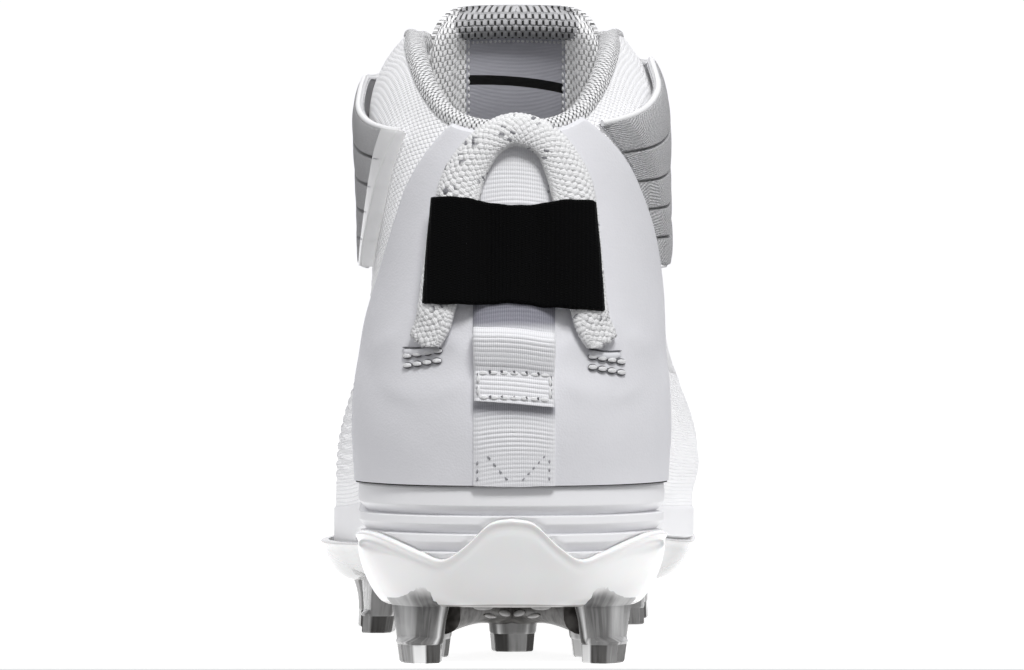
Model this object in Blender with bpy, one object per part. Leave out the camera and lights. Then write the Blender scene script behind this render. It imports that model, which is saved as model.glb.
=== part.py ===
"""Mid-cut football cleat, left foot, European size 43.

The shoe stands on its studs with +Z up and the toe towards +Y, so +X is the inner (medial) side and -X the
outer (lateral) side.  The origin is on the ground under the middle of the shoe's bounding box.

The working frame of the functions below is in millimetres: y runs from the back of the heel to the toe, x from the
heel's centre line towards the inner side, z up from the ground.  The upper's outer surface is x = ridge +- half
width(y, z); every other piece is cut from that one function with offsets, so all of them share one last.
"""

import math

import bmesh
import bpy
import numpy as np

MM = 0.001
# ---- driving sizes, mm ------------------------------------------------------------------------------------------
HEEL_TO_TOE = 295.0        # upper, back of heel to toe tip
MID_X, MID_Y = -0.6, 145.6  # middle of the whole shoe's box in the working frame
WALL = 2.8                 # upper: mesh, foam and lining together
GAP = 0.35                 # between pieces that meet
COUNTER = 1.4              # heel counter overlay
STRAP = 2.2                # ankle strap
PLATE_FLOOR = 3.6          # outsole plate under the foot
PLATE_CUP = 1.7            # outsole plate round the sides
INSOLE = 3.0
TOE_CENTRE, TOE_REACH = 250.0, 45.0   # the toe box rounds off from TOE_CENTRE over TOE_REACH
ARCH_POWER = 2.25          # fullness of the forefoot's sections
BACK_POWER = 2.1           # fullness of the heel seen from above
SHOULDER = 24.0            # height over which the padded collar turns in

# ---- sections of the last, a row for each station along the foot ----------------------------------------------
STATION = ("y", "ridge_x", "lat_foot", "lat_belly", "lat_ankle", "lat_top", "med_foot", "med_belly", "med_ankle", "med_top")
STATIONS = [
    (0.0, 0.0, 37.4, 38.3, 34.0, 35.0, 37.4, 38.1, 35.2, 35.2),
    (30.0, 0.0, 38.0, 38.7, 34.6, 36.2, 37.8, 38.4, 36.2, 36.4),
    (60.0, 0.0, 37.6, 38.2, 35.4, 36.6, 37.0, 37.8, 36.8, 36.8),
    (90.0, 0.3, 37.6, 38.4, 36.8, 36.4, 35.8, 38.0, 38.0, 36.8),
    (112.0, 0.3, 39.0, 39.8, 37.4, 35.0, 35.8, 39.6, 38.6, 36.0),
    (132.0, 0.4, 42.4, 42.6, 38.6, 34.0, 38.0, 42.4, 40.4, 35.0),
    (152.0, 0.8, 46.4, 46.6, 41.0, 34.0, 42.0, 46.4, 43.0, 36.0),
    (175.0, 1.8, 50.4, 50.2, 45.0, 36.0, 47.0, 49.6, 46.4, 38.0),
    (200.0, 3.4, 52.6, 52.4, 48.0, 40.0, 47.4, 48.4, 46.0, 40.0),
    (222.0, 5.0, 51.8, 51.6, 48.0, 42.0, 46.0, 46.6, 44.0, 40.0),
    (245.0, 6.6, 48.4, 48.4, 46.0, 42.0, 43.2, 43.6, 42.0, 40.0),
    (268.0, 7.8, 45.4, 45.4, 44.0, 42.0, 40.2, 40.4, 40.0, 39.0),
    (297.0, 8.4, 42.0, 42.0, 41.0, 40.0, 38.0, 38.0, 38.0, 38.0),
]
BACK = ("z", "y", "round")          # back of the heel: where it is and how far it rounds
BACKS = [
    (14.0, 6.0, 36.0), (30.0, 2.6, 38.0), (44.0, 1.2, 39.0), (60.0, 0.0, 40.0), (78.0, 1.8, 39.0), (96.0, 5.4, 38.0),
    (112.0, 8.6, 37.0), (126.0, 10.4, 36.0), (140.0, 12.0, 35.0), (172.0, 13.0, 34.0),
]
RIDGE = ("y", "z", "round")         # vamp and instep line up to the front of the collar
RIDGES = [
    (250.0, 65.0, 29.0), (228.0, 71.5, 35.0), (205.0, 80.0, 42.0), (184.0, 90.0, 47.0), (166.0, 101.0, 48.0),
    (151.0, 114.0, 45.0), (139.0, 128.0, 41.0), (130.5, 142.0, 38.0), (125.0, 156.0, 36.0), (122.0, 170.0, 35.0),
    (120.5, 184.0, 35.0),
]
COLLAR = ("y", "z", "turn_in")      # top edge of the upper and how far its padded shoulder turns in there
COLLARS = [
    (8.0, 130.0, 0.03), (12.0, 131.5, 0.05), (16.0, 134.8, 0.10), (22.0, 140.8, 0.17), (29.0, 146.8, 0.23),
    (38.0, 152.0, 0.27), (50.0, 155.6, 0.28), (70.0, 158.5, 0.27), (95.0, 159.5, 0.22), (124.0, 161.0, 0.12),
]
SOLE = ("y", "feather", "footbed", "bottom", "rim_lat", "rim_med", "bulge_lat", "bulge_med", "tuck_lat", "tuck_med")
SOLES = [                            # heights of the sole's edges and how far its sides stand out and tuck under
    (0.0, 44.0, 30.0, 14.4, 32.0, 32.0, 0.8, 0.8, 6.0, 6.0),
    (45.0, 44.0, 30.0, 14.4, 31.0, 31.0, 0.8, 0.8, 6.0, 6.4),
    (75.0, 42.4, 29.6, 16.4, 27.6, 27.6, 0.6, 0.4, 8.0, 9.0),
    (105.0, 38.4, 28.0, 18.4, 26.4, 27.6, 0.8, 0.0, 9.0, 10.5),
    (135.0, 35.2, 25.0, 16.0, 25.2, 26.6, 2.2, 0.0, 7.0, 10.5),
    (175.0, 33.4, 22.8, 13.2, 24.4, 24.4, 3.8, 0.2, 5.0, 10.5),
    (215.0, 32.6, 22.4, 13.0, 24.2, 24.4, 2.8, 0.6, 5.6, 9.0),
    (250.0, 33.6, 23.6, 14.4, 25.0, 25.0, 1.8, 1.2, 6.4, 7.4),
    (275.0, 35.8, 26.2, 17.6, 27.6, 27.6, 1.4, 1.4, 7.0, 7.0),
    (298.0, 38.4, 29.6, 21.6, 31.0, 31.0, 1.2, 1.2, 7.0, 7.0),
]
CROWN = ("x", "lift")               # scallops of the heel cup's edge, seen from behind: height over the plain rim
CROWNS = [(0.0, 4.2), (5.0, 3.3), (11.0, -2.2), (16.6, -5.8), (22.0, -4.2), (29.0, -1.2), (35.0, 0.6), (39.0, 0.6)]
COUNTER_EDGE = ("z", "lat_y", "med_y")   # front edge of the heel counter in side view
COUNTER_EDGES = [
    (40.0, 92.0, 98.0), (48.0, 84.0, 90.0), (58.0, 64.0, 74.0), (68.0, 50.0, 62.0), (78.0, 40.0, 52.0), (92.0, 30.5, 41.0),
    (105.0, 24.5, 33.5), (117.0, 20.5, 26.5), (128.0, 16.4, 20.4), (136.0, 13.6, 15.6), (150.0, 12.4, 13.0),
]
STRAP_ROW = ("run", "bottom_z", "top_z", "stand_off")   # run: -1 outer rear end, 0 over the instep, 1 inner rear end
STRAPS = [
    (-1.0, 98.0, 131.0, 1.7), (-0.6, 103.0, 145.0, 1.4), (-0.3, 111.0, 153.0, 1.0), (0.0, 119.0, 158.0, 2.0),
    (0.3, 111.0, 154.5, 1.0), (0.6, 103.5, 149.0, 1.1), (1.0, 98.0, 133.0, 1.2),
]
STRAP_END_LAT = ("z", "y")          # where the strap's free end stops on the outer side
STRAP_END_LATS = [(90.0, 35.0), (98.0, 33.0), (112.0, 28.0), (131.0, 22.5), (140.0, 21.0)]
STRAP_END_MED = ("z", "y")          # and where it comes out from under the counter on the inner side
STRAP_END_MEDS = [(90.0, 44.5), (98.0, 40.0), (105.0, 35.5), (117.0, 28.5), (128.0, 22.4), (140.0, 17.0)]
TONGUE_ROW = ("ridge_t", "half_width", "arc", "thick", "rim")
TONGUES = [                          # a row for each section of the tongue, from the vamp to its top edge
    (0.30, 15.0, 62.0, 2.6, 0.0), (0.40, 18.0, 54.0, 3.4, 0.0), (0.52, 20.0, 46.0, 4.4, 0.4), (0.64, 21.0, 38.0, 5.4, 1.0),
    (0.76, 22.0, 31.0, 5.6, 1.4), (0.88, 24.0, 28.0, 5.2, 2.0), (0.96, 25.4, 26.5, 5.2, 2.8), (1.01, 24.4, 26.0, 5.6, 2.8),
    (1.04, 19.0, 26.0, 4.6, 1.6),
]
STUD = ("name", "x", "y", "wide", "long", "yaw", "flare")
STUDS = [
    ("heel_rear_lat", -22.6, 19.0, 9.6, 12.5, 24.0, 1.55), ("heel_rear_med", 22.6, 19.0, 9.6, 12.5, -24.0, 1.55),
    ("heel_front_lat", -20.4, 44.0, 8.6, 12.0, 6.0, 1.5), ("heel_front_med", 19.6, 44.0, 8.6, 12.0, -6.0, 1.5),
    ("heel_centre", 0.2, 66.0, 11.0, 9.0, 0.0, 1.45),
    ("ball_lat_rear", -36.6, 152.0, 9.0, 13.0, -8.0, 1.5), ("ball_lat", -38.4, 182.0, 9.0, 13.0, 0.0, 1.5),
    ("ball_lat_front", -33.0, 214.0, 9.0, 13.0, 10.0, 1.5), ("ball_med_rear", 26.0, 160.0, 9.0, 13.0, 10.0, 1.5),
    ("ball_med", 32.6, 194.0, 9.0, 13.0, 4.0, 1.5), ("ball_med_front", 34.6, 226.0, 9.0, 13.0, -6.0, 1.5),
    ("toe_lat", -12.0, 256.0, 9.0, 12.0, 24.0, 1.45), ("toe_med", 23.0, 259.0, 9.0, 12.0, -20.0, 1.45),
]
CORD = ("x", "z", "stand_off")       # pull cord's centre line seen from behind, and its height off the counter
CORDS = [
    (-20.6, 76.0, 2.2), (-19.2, 84.0, 2.2), (-17.4, 93.0, 2.4), (-16.0, 103.0, 2.6), (-14.9, 113.0, 2.6), (-12.6, 121.0, 2.8),
    (-7.6, 128.2, 3.2), (0.2, 131.4, 3.4), (8.0, 128.4, 3.2), (13.2, 121.0, 2.8), (15.5, 113.0, 2.6), (16.6, 103.0, 2.6),
    (17.8, 93.0, 2.4), (19.6, 84.0, 2.2), (20.9, 76.0, 2.2),
]
CORD_WIDE, CORD_THICK = 9.0, 4.0
BAND_BOTTOM, BAND_TOP = 88.0, 114.4  # black grip band round the cord's legs
BAND_HALF_BOTTOM, BAND_HALF_TOP = 19.4, 17.4
BAND_THICK = 1.1
BAND_STAND = ((88.0, 103.0, 114.4), (2.45, 2.75, 2.75))   # height, cord's centre line off the counter
WEB_HALF, WEB_THICK, WEB_BOTTOM, WEB_TOP = 10.0, 1.0, 45.0, 127.0
TAB_HALF, TAB_BOTTOM, TAB_TOP, TAB_STANDS = 10.2, 65.0, 84.6, 2.6
THROAT_START, THROAT_HALF_LOW, THROAT_HALF_TOP = 0.345, 15.0, 20.0
LACE_ROWS, LACE_WIDE, LACE_THICK = 5, 6.0, 1.5
LACE_FIRST, LACE_LAST, LACE_REACH = 0.40, 0.71, 5.0


# ---- numbers from the tables -----------------------------------------------------------------------------------
def column(rows, names, key, name, at):
    """A smooth curve through one named column of a table, against another."""
    k, c = names.index(key), names.index(name)
    xs = np.array([r[k] for r in rows], float)
    ys = np.array([r[c] for r in rows], float)
    if xs[0] > xs[-1]:
        xs, ys = xs[::-1], ys[::-1]
    h = np.diff(xs)
    d = np.diff(ys) / h
    m = np.empty_like(xs)
    m[0], m[-1] = d[0], d[-1]
    m[1:-1] = (d[:-1] * h[1:] + d[1:] * h[:-1]) / (h[:-1] + h[1:])
    at = np.clip(np.asarray(at, float), xs[0], xs[-1])
    i = np.clip(np.searchsorted(xs, at) - 1, 0, len(h) - 1)
    t = (at - xs[i]) / h[i]
    return (
        ys[i] * (2 * t**3 - 3 * t**2 + 1)
        + m[i] * h[i] * (t**3 - 2 * t**2 + t)
        + ys[i + 1] * (3 * t**2 - 2 * t**3)
        + m[i + 1] * h[i] * (t**3 - t**2)
    )


def station(name, y):
    return column(STATIONS, STATION, "y", name, y)


def sole(name, y):
    return column(SOLES, SOLE, "y", name, y)


def ease(low, high, x):
    t = np.clip((np.asarray(x, float) - low) / (high - low), 0, 1)
    return t * t * (3 - 2 * t)


def rounding(share, power):
    """0 at the edge, 1 once share reaches 1, as the quarter of a full ellipse."""
    s = 1 - np.clip(share, 0, 1)
    return (1 - s**power) ** (1 / power)


def dense_ridge():
    rows = np.array(RIDGES, float)
    at = np.linspace(0, len(rows) - 1, 121)
    made = []
    for c in range(3):
        pairs = [(i, r[c]) for i, r in enumerate(RIDGES)]
        made.append(column(pairs, ("i", "v"), "i", "v", at))
    return np.stack(made, axis=-1)


RIDGE_LINE = dense_ridge()


def ridge_z(y):
    """Height of the instep line over the vamp, run on over the toe box."""
    y = np.asarray(y, float)
    slope = (RIDGES[0][1] - RIDGES[1][1]) / (RIDGES[0][0] - RIDGES[1][0])
    over = np.interp(-y, -RIDGE_LINE[:, 0], RIDGE_LINE[:, 1])
    return np.where(y > RIDGES[0][0], RIDGES[0][1] + (y - RIDGES[0][0]) * slope * 0.6, over)


def ridge_gap(y, z):
    """(distance to the instep line, its rounding there) of points in side view."""
    a, b = RIDGE_LINE[:-1], RIDGE_LINE[1:]
    d = b[:, :2] - a[:, :2]
    p = np.stack([np.ravel(y), np.ravel(z)], axis=-1)
    t = np.clip(((p[:, None] - a[None, :, :2]) * d[None]).sum(-1) / (d**2).sum(-1)[None], 0, 1)
    near = a[None, :, :2] + t[..., None] * d[None]
    gap = np.linalg.norm(p[:, None] - near, axis=-1)
    best = gap.argmin(axis=1)
    row = np.arange(len(p))
    tb = t[row, best]
    radius = a[best, 2] * (1 - tb) + b[best, 2] * tb
    v = p - near[row, best]
    side = d[best, 0] * v[:, 1] - d[best, 1] * v[:, 0]
    shape = np.shape(y)
    return (np.where(side > 0, gap[row, best], -gap[row, best])).reshape(shape), radius.reshape(shape)


def half_width(y, z, side):
    """Half width of the upper's outer surface at a point of its side view; side is -1 outer, 1 inner."""
    y, z = np.broadcast_arrays(np.asarray(y, float), np.asarray(z, float))
    s = "lat_" if side < 0 else "med_"
    zf = sole("feather", y)
    foot, belly, ankle, top = (station(s + c, y) for c in ("foot", "belly", "ankle", "top"))
    w = foot + (belly - foot) * ease(zf, zf + 14, z)
    w = w + (ankle - belly) * ease(zf + 14, 100, z)
    w = w + (top - ankle) * ease(100, 146, z)
    back_y, back_r = column(BACKS, BACK, "z", "y", z), column(BACKS, BACK, "z", "round", z)
    w = w * rounding((y - back_y) / back_r, BACK_POWER)
    gap, radius = ridge_gap(y, z)
    front = rounding(gap / radius, ARCH_POWER)
    a = np.clip((y - TOE_CENTRE) / TOE_REACH, 0, 1)
    zc = zf + 1.0
    b = np.clip((z - zc) / np.maximum(ridge_z(y) - zc, 1), 0, 1)
    toe = np.clip(1 - a**ARCH_POWER - b**ARCH_POWER, 0, 1) ** (1 / ARCH_POWER)
    mix = ease(228, 252, y)
    w = w * (front * (1 - mix) + toe * mix)
    turn = column(COLLARS, COLLAR, "y", "turn_in", y)
    up = np.clip(1 - (column(COLLARS, COLLAR, "y", "z", y) - z) / SHOULDER, 0, 1.3)
    return w * (1 - turn * up**2.6)


def place(y, z, side, out=0.0):
    """Points of the upper's surface from its side view, moved out along the surface's normal."""
    y, z = np.broadcast_arrays(np.asarray(y, float), np.asarray(z, float))
    side = np.broadcast_to(np.asarray(side, float), y.shape)
    def wide(yy, zz):
        return np.where(side < 0, half_width(yy, zz, -1), half_width(yy, zz, 1))
    w, e = wide(y, z), 0.25
    x = station("ridge_x", y) + side * w
    gy = (wide(y + e, z) ** 2 - wide(y - e, z) ** 2) / (2 * e)
    gz = (wide(y, z + e) ** 2 - wide(y, z - e) ** 2) / (2 * e)
    bend = (station("ridge_x", y + e) - station("ridge_x", y - e)) / (2 * e)
    n = np.stack([side * w, -0.5 * gy - side * w * bend, -0.5 * gz], axis=-1)
    n = n / np.maximum(np.linalg.norm(n, axis=-1, keepdims=True), 1e-9)
    return np.stack([x, y, z], axis=-1) + np.asarray(out)[..., None] * n, n


# ---- the upper's side view as a grid: p runs from the heel to the toe, t from the sole to the collar -------------
def front_line(t):
    """Side view of the toe and instep, t from the toe's foot to the front of the collar."""
    turn = np.linspace(math.pi / 2, 0, 24)[:-1]
    ye = TOE_CENTRE + TOE_REACH * np.sin(turn) ** (2 / ARCH_POWER)
    zc = sole("feather", ye) + 1.0
    ze = zc + (ridge_z(ye) - zc) * np.cos(turn) ** (2 / ARCH_POWER)
    foot = [[HEEL_TO_TOE, float(sole("feather", HEEL_TO_TOE))]]
    top = RIDGE_LINE[:, :2]
    line = np.vstack([foot, np.stack([ye, ze], -1), top])
    top_z = COLLARS[-1][1]
    end = int(np.argmax(line[:, 1] >= top_z))
    share = (top_z - line[end - 1, 1]) / (line[end, 1] - line[end - 1, 1])
    line = np.vstack([line[:end], line[end - 1] + share * (line[end] - line[end - 1])])
    arc = np.r_[0, np.cumsum(np.linalg.norm(np.diff(line, axis=0), axis=1))]
    t = np.asarray(t, float) * arc[-1]
    return np.stack([np.interp(t, arc, line[:, 0]), np.interp(t, arc, line[:, 1])], -1)


def back_line(t):
    """Side view of the heel's back, from the sole to the collar."""
    foot, top = float(sole("feather", column(BACKS, BACK, "z", "y", 44.0))), COLLARS[1][1]
    for _ in range(8):                    # the collar's height where the heel's back meets it
        top = float(column(COLLARS, COLLAR, "y", "z", column(BACKS, BACK, "z", "y", top)))
    z = foot + np.asarray(t, float) * (top - foot)
    return np.stack([column(BACKS, BACK, "z", "y", z), z], -1)


def side_view(p, t):
    """(y, z) on the side view, blended between its four edges."""
    p, t = np.broadcast_arrays(np.asarray(p, float), np.asarray(t, float))
    low0, low1 = back_line(0.0), front_line(0.0)
    top0, top1 = back_line(1.0), front_line(1.0)
    yb = low0[0] + p * (low1[0] - low0[0])
    bottom = np.stack([yb, sole("feather", yb)], -1)
    yt = top0[0] + p * (top1[0] - top0[0])
    top = np.stack([yt, column(COLLARS, COLLAR, "y", "z", yt)], -1)
    P, T = p[..., None], t[..., None]
    mixed = (1 - P) * ((1 - T) * low0 + T * top0) + P * ((1 - T) * low1 + T * top1)
    return (1 - T) * bottom + T * top + (1 - P) * back_line(t) + P * front_line(t) - mixed


def fine(q):
    """Spacing that rounds both ends evenly."""
    return (1 - np.cos(np.pi * np.clip(np.abs(q), 0, 1))) / 2


def upper_point(q, t, out=0.0):
    """q runs from -1, the ridge by the outer side, over 0, the heel's back, to 1, the ridge by the inner side."""
    q, t = np.broadcast_arrays(np.asarray(q, float), np.asarray(t, float))
    yz = side_view(fine(np.clip(np.abs(q), 2e-3, 1 - 2e-3)), t)
    side = np.where(q < 0, -1.0, 1.0)
    pts, _ = place(yz[..., 0], yz[..., 1], side, out)
    mid = (np.abs(q) > 1 - 2e-3) | (np.abs(q) < 2e-3)
    if mid.any():
        other, _ = place(yz[..., 0], yz[..., 1], -side, out)
        both = (pts + other) / 2
        both[..., 0] = station("ridge_x", both[..., 1])
        pts = np.where(mid[..., None], both, pts)
    return pts


def throat_q(t, half):
    """Where on a level the surface is that far from the ridge line."""
    q = np.linspace(0.55, 1 - 2e-3, 160)
    yz = side_view(fine(q), np.full_like(q, t))
    found = []
    for side in (-1, 1):
        w = half_width(yz[:, 0], yz[:, 1], side)
        found.append(float(np.interp(-half, -w, q)) if w.min() < half else 1.0)
    return found


# ---- solids ----------------------------------------------------------------------------------------------------
def to_world(points):
    return (np.asarray(points, float) - (MID_X, MID_Y, 0.0)) * MM


def material(name, colour, roughness, alpha=1.0):
    m = bpy.data.materials.new(name)
    m.use_nodes = True
    shader = m.node_tree.nodes["Principled BSDF"]
    shader.inputs["Base Color"].default_value = (*colour, 1.0)
    shader.inputs["Roughness"].default_value = roughness
    shader.inputs["Metallic"].default_value = 0.0
    shader.inputs["Alpha"].default_value = alpha
    return m


def solid(name, points, faces, mat):
    mesh = bpy.data.meshes.new(name)
    mesh.from_pydata([tuple(p) for p in to_world(points)], [], [tuple(f) for f in faces])
    bm = bmesh.new()
    bm.from_mesh(mesh)
    bmesh.ops.remove_doubles(bm, verts=bm.verts, dist=2e-6)
    bmesh.ops.recalc_face_normals(bm, faces=bm.faces)
    if bm.calc_volume(signed=True) < 0:
        bmesh.ops.reverse_faces(bm, faces=bm.faces)
    bm.to_mesh(mesh)
    bm.free()
    mesh.shade_smooth()
    mesh.set_sharp_from_angle(angle=math.radians(50))
    mesh.materials.append(mat)
    obj = bpy.data.objects.new(name, mesh)
    bpy.context.scene.collection.objects.link(obj)
    return obj


def shell(name, outer, inner, mat, wrapped=False):
    """A solid between two grids of points of the same shape; wrapped joins the first column to the last."""
    rows, cols = outer.shape[:2]
    n = rows * cols
    points = np.vstack([outer.reshape(-1, 3), inner.reshape(-1, 3)])
    faces = []
    for i in range(rows - 1):
        for j in range(cols - 1 + wrapped):
            k = (j + 1) % cols
            a, b, c, d = i * cols + j, i * cols + k, (i + 1) * cols + k, (i + 1) * cols + j
            faces += [(a, b, c, d), (n + d, n + c, n + b, n + a)]
    for j in range(cols - 1 + wrapped):
        k = (j + 1) % cols
        last = (rows - 1) * cols
        faces += [(k, j, n + j, n + k), (last + j, last + k, n + last + k, n + last + j)]
    if not wrapped:
        for i in range(rows - 1):
            a, b = i * cols, (i + 1) * cols
            faces += [(a, b, n + b, n + a), (b + cols - 1, a + cols - 1, n + a + cols - 1, n + b + cols - 1)]
    return solid(name, points, faces, mat)


def loft(name, rings, mat, caps=True):
    """A solid through closed rings of the same number of points."""
    rings = np.asarray(rings, float)
    count, around = rings.shape[:2]
    faces = []
    for i in range(count - 1):
        for j in range(around):
            k = (j + 1) % around
            faces.append((i * around + j, i * around + k, (i + 1) * around + k, (i + 1) * around + j))
    if caps:
        faces += [tuple(range(around))[::-1], tuple((count - 1) * around + j for j in range(around))]
    return solid(name, rings.reshape(-1, 3), faces, mat)


def sole_loop(q, offset, z):
    """Loop round the sole: the upper's foot edge in plan, moved out level by offset, at height z."""
    base = upper_point(q, np.zeros_like(q))
    q2 = np.clip(np.abs(q), 0.004, 0.996)
    yz = side_view(fine(q2), np.zeros_like(q))
    _, n = place(yz[:, 0], yz[:, 1], np.where(q < 0, -1.0, 1.0))
    flat = n[:, :2] / np.linalg.norm(n[:, :2], axis=1, keepdims=True)
    ends = np.abs(q) < 0.004
    flat[ends] = (0, -1)
    ends = np.abs(q) > 0.996
    flat[ends] = (0, 1)
    out = base.copy()
    out[:, :2] += flat * np.asarray(offset)[..., None]
    out[:, 2] = z
    return out


def sole_at(q, name):
    """A column of the sole's table along the loop; names ending in _ are read for the loop's own side."""
    base = upper_point(q, np.zeros_like(q))
    y = base[:, 1]
    if not name.endswith("_"):
        return sole(name, y)
    mix = ease(-10, 10, base[:, 0] - station("ridge_x", y))
    return sole(name + "lat", y) * (1 - mix) + sole(name + "med", y) * mix


def rim_height(q):
    base = upper_point(q, np.zeros_like(q))
    crown = column(CROWNS, CROWN, "x", "lift", np.abs(base[:, 0]))
    return sole_at(q, "rim_") + crown * (1 - ease(26, 44, base[:, 1]))


def plate_offset(q, share):
    """How far the plate's outside stands out from the upper's edge, share of the way from its bottom to its rim."""
    bulge, tuck = sole_at(q, "bulge_"), sole_at(q, "tuck_")
    return -tuck + (bulge + tuck) * rounding(share, 1.7)


def around(count):
    """q values round a closed loop, starting at the toe, with no repeat."""
    return -1 + 2 * np.arange(count) / count


def tray(name, outer, inner, mat):
    """A closed tray: outer rings from rim to bottom, inner rings from rim to floor, each floor filled strip by strip."""
    rings = [*outer[::-1], *inner]          # bottom ... rim outside, rim inside ... floor
    count = len(rings[0])
    points = np.vstack(rings)
    faces = []
    for i in range(len(rings) - 1):
        for j in range(count):
            k = (j + 1) % count
            faces.append((i * count + j, i * count + k, (i + 1) * count + k, (i + 1) * count + j))
    first, last = 0, (len(rings) - 1) * count
    half = count // 2                        # index 0 is the toe, half is the heel
    for start, turned in ((first, True), (last, False)):
        for j in range(half):
            a, b = start + j, start + j + 1
            c, d = start + (count - j - 1) % count, start + (count - j) % count
            face = [a, b, c, d]
            face = [v for n, v in enumerate(face) if v not in face[:n]]
            if len(face) > 2:
                faces.append(tuple(face[::-1] if turned else face))
    return solid(name, points, faces, mat)


def build_upper(mat):
    half = 22
    low = np.array([0, 0.09, 0.18, 0.27, THROAT_START, 0.375, 0.45, 0.54, 0.63, 0.72, 0.80, 0.87, 0.93, 0.97, 1.0])
    rows = len(low)
    outer, inner = [], []
    for t in low:
        reach = [1.0, 1.0]
        if t > THROAT_START:
            share = (t - THROAT_START) / (1 - THROAT_START)
            width = (THROAT_HALF_LOW + (THROAT_HALF_TOP - THROAT_HALF_LOW) * share) * min(1.0, math.sqrt(share / 0.09))
            reach = throat_q(t, width)
        q = np.r_[-reach[0] * np.linspace(1, 0, half + 1), reach[1] * np.linspace(0, 1, half + 1)[1:]]
        outer.append(upper_point(q, np.full_like(q, t), 0.0))
        inner.append(upper_point(q, np.full_like(q, t), -WALL))
    outer, inner = np.array(outer), np.array(inner)
    outer[0, :, 2] += GAP
    inner[0, :, 2] = outer[0, :, 2]
    closed = int(np.sum(low <= THROAT_START))
    cols = outer.shape[1]
    points = np.vstack([outer.reshape(-1, 3), inner.reshape(-1, 3)])
    n = rows * cols
    faces = []
    for i in range(rows - 1):
        for j in range(cols - 1):
            a, b, c, d = i * cols + j, i * cols + j + 1, (i + 1) * cols + j + 1, (i + 1) * cols + j
            faces += [(a, b, c, d), (n + d, n + c, n + b, n + a)]
    for j in range(cols - 1):
        last = (rows - 1) * cols
        faces += [(j + 1, j, n + j, n + j + 1), (last + j, last + j + 1, n + last + j + 1, n + last + j)]
    for i in range(closed - 1, rows - 1):
        a, b = i * cols, (i + 1) * cols
        faces += [(a, b, n + b, n + a), (b + cols - 1, a + cols - 1, n + a + cols - 1, n + b + cols - 1)]
    return solid("upper", points, faces, mat)


def build_counter(mat):
    rows, cols = 10, 21
    grids = []
    for out in (COUNTER + GAP, GAP + 0.55):
        grid = []
        for t in np.linspace(0.012, 0.965, rows):
            q = np.linspace(0.01, 0.98, 200)
            line = []
            for side, name in ((-1, "lat_y"), (1, "med_y")):
                yz = side_view(fine(q), np.full_like(q, t))
                gap = yz[:, 0] - column(COUNTER_EDGES, COUNTER_EDGE, "z", name, yz[:, 1])
                line.append(float(np.interp(0, gap, q)))
            run = np.linspace(-1, 1, cols)
            qs = np.where(run < 0, run * line[0], run * line[1])
            grid.append(upper_point(qs, np.full(cols, t), out))
        grids.append(np.array(grid))
    grids[0][0, :, 2] = np.maximum(grids[0][0, :, 2], sole("feather", grids[0][0, :, 1]) + GAP)
    grids[1][0, :, 2] = grids[0][0, :, 2]
    return shell("heel_counter", grids[0], grids[1], mat)


def build_collar(mat):
    """Padded collar: a pad inside the upper and a roll over its top edge, swept round from throat to throat."""
    lat, med = throat_q(1.0, THROAT_HALF_TOP + 4.8)
    qs = np.linspace(-lat, med, 33)
    face = [(0.72, 0.0), (0.80, 1.8), (0.88, 3.4), (0.95, 4.2), (0.995, 4.0)]   # level, pad thickness
    rings = []
    for q in qs:
        ring = []
        back = 1 - float(ease(0.10, 0.30, abs(q)))
        front = 1 - 0.92 * float(ease(0.42, 0.70, abs(q) / (lat if q < 0 else med)))
        for t, _ in face:
            ring.append(upper_point(q, t, -(WALL + GAP + 0.6)))
        edge = upper_point(q, 1.0, 0.0)
        below = upper_point(q, 0.985, 0.0)
        along = (edge - below) / np.linalg.norm(edge - below)
        inward = upper_point(q, 1.0, -1.0) - edge
        for depth, rise in ((WALL + GAP + 0.6, 0.9), (-0.5, 0.9), (-0.7, 2.2), (0.9, 3.8), (3.6, 4.6), (6.4, 3.6)):
            thin = min(depth, WALL) + max(depth - WALL, 0) * front
            ring.append(edge + inward * thin + along * rise * (0.5 + 0.5 * front))
        for t, thick in face[::-1][:-1]:
            ring.append(upper_point(q, t, -(WALL + GAP + 0.85 + thick * (1 - 0.25 * back) * front)))
        rings.append(ring)
    return loft("collar_roll", rings, mat)


def front_point(t):
    """Ridge line past the collar: (y, z), its direction and its inward normal in side view."""
    line = RIDGE_LINE[:, :2]
    arc = np.r_[0, np.cumsum(np.linalg.norm(np.diff(line, axis=0), axis=1))]
    start, end = front_line(0.25), front_line(1.0)
    s0 = np.interp(-start[0], -line[:, 0], arc)
    s1 = np.interp(end[1], line[:, 1], arc)
    s = s0 + (t - 0.25) / 0.75 * (s1 - s0)
    y, z = np.interp(s, arc, line[:, 0]), np.interp(s, arc, line[:, 1])
    dy = np.interp(s + 2, arc, line[:, 0]) - np.interp(s - 2, arc, line[:, 0])
    dz = np.interp(s + 2, arc, line[:, 1]) - np.interp(s - 2, arc, line[:, 1])
    length = math.hypot(dy, dz)
    return np.array([y, z]), np.array([dy, dz]) / length, np.array([dz, -dy]) / length * (-1)


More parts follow.
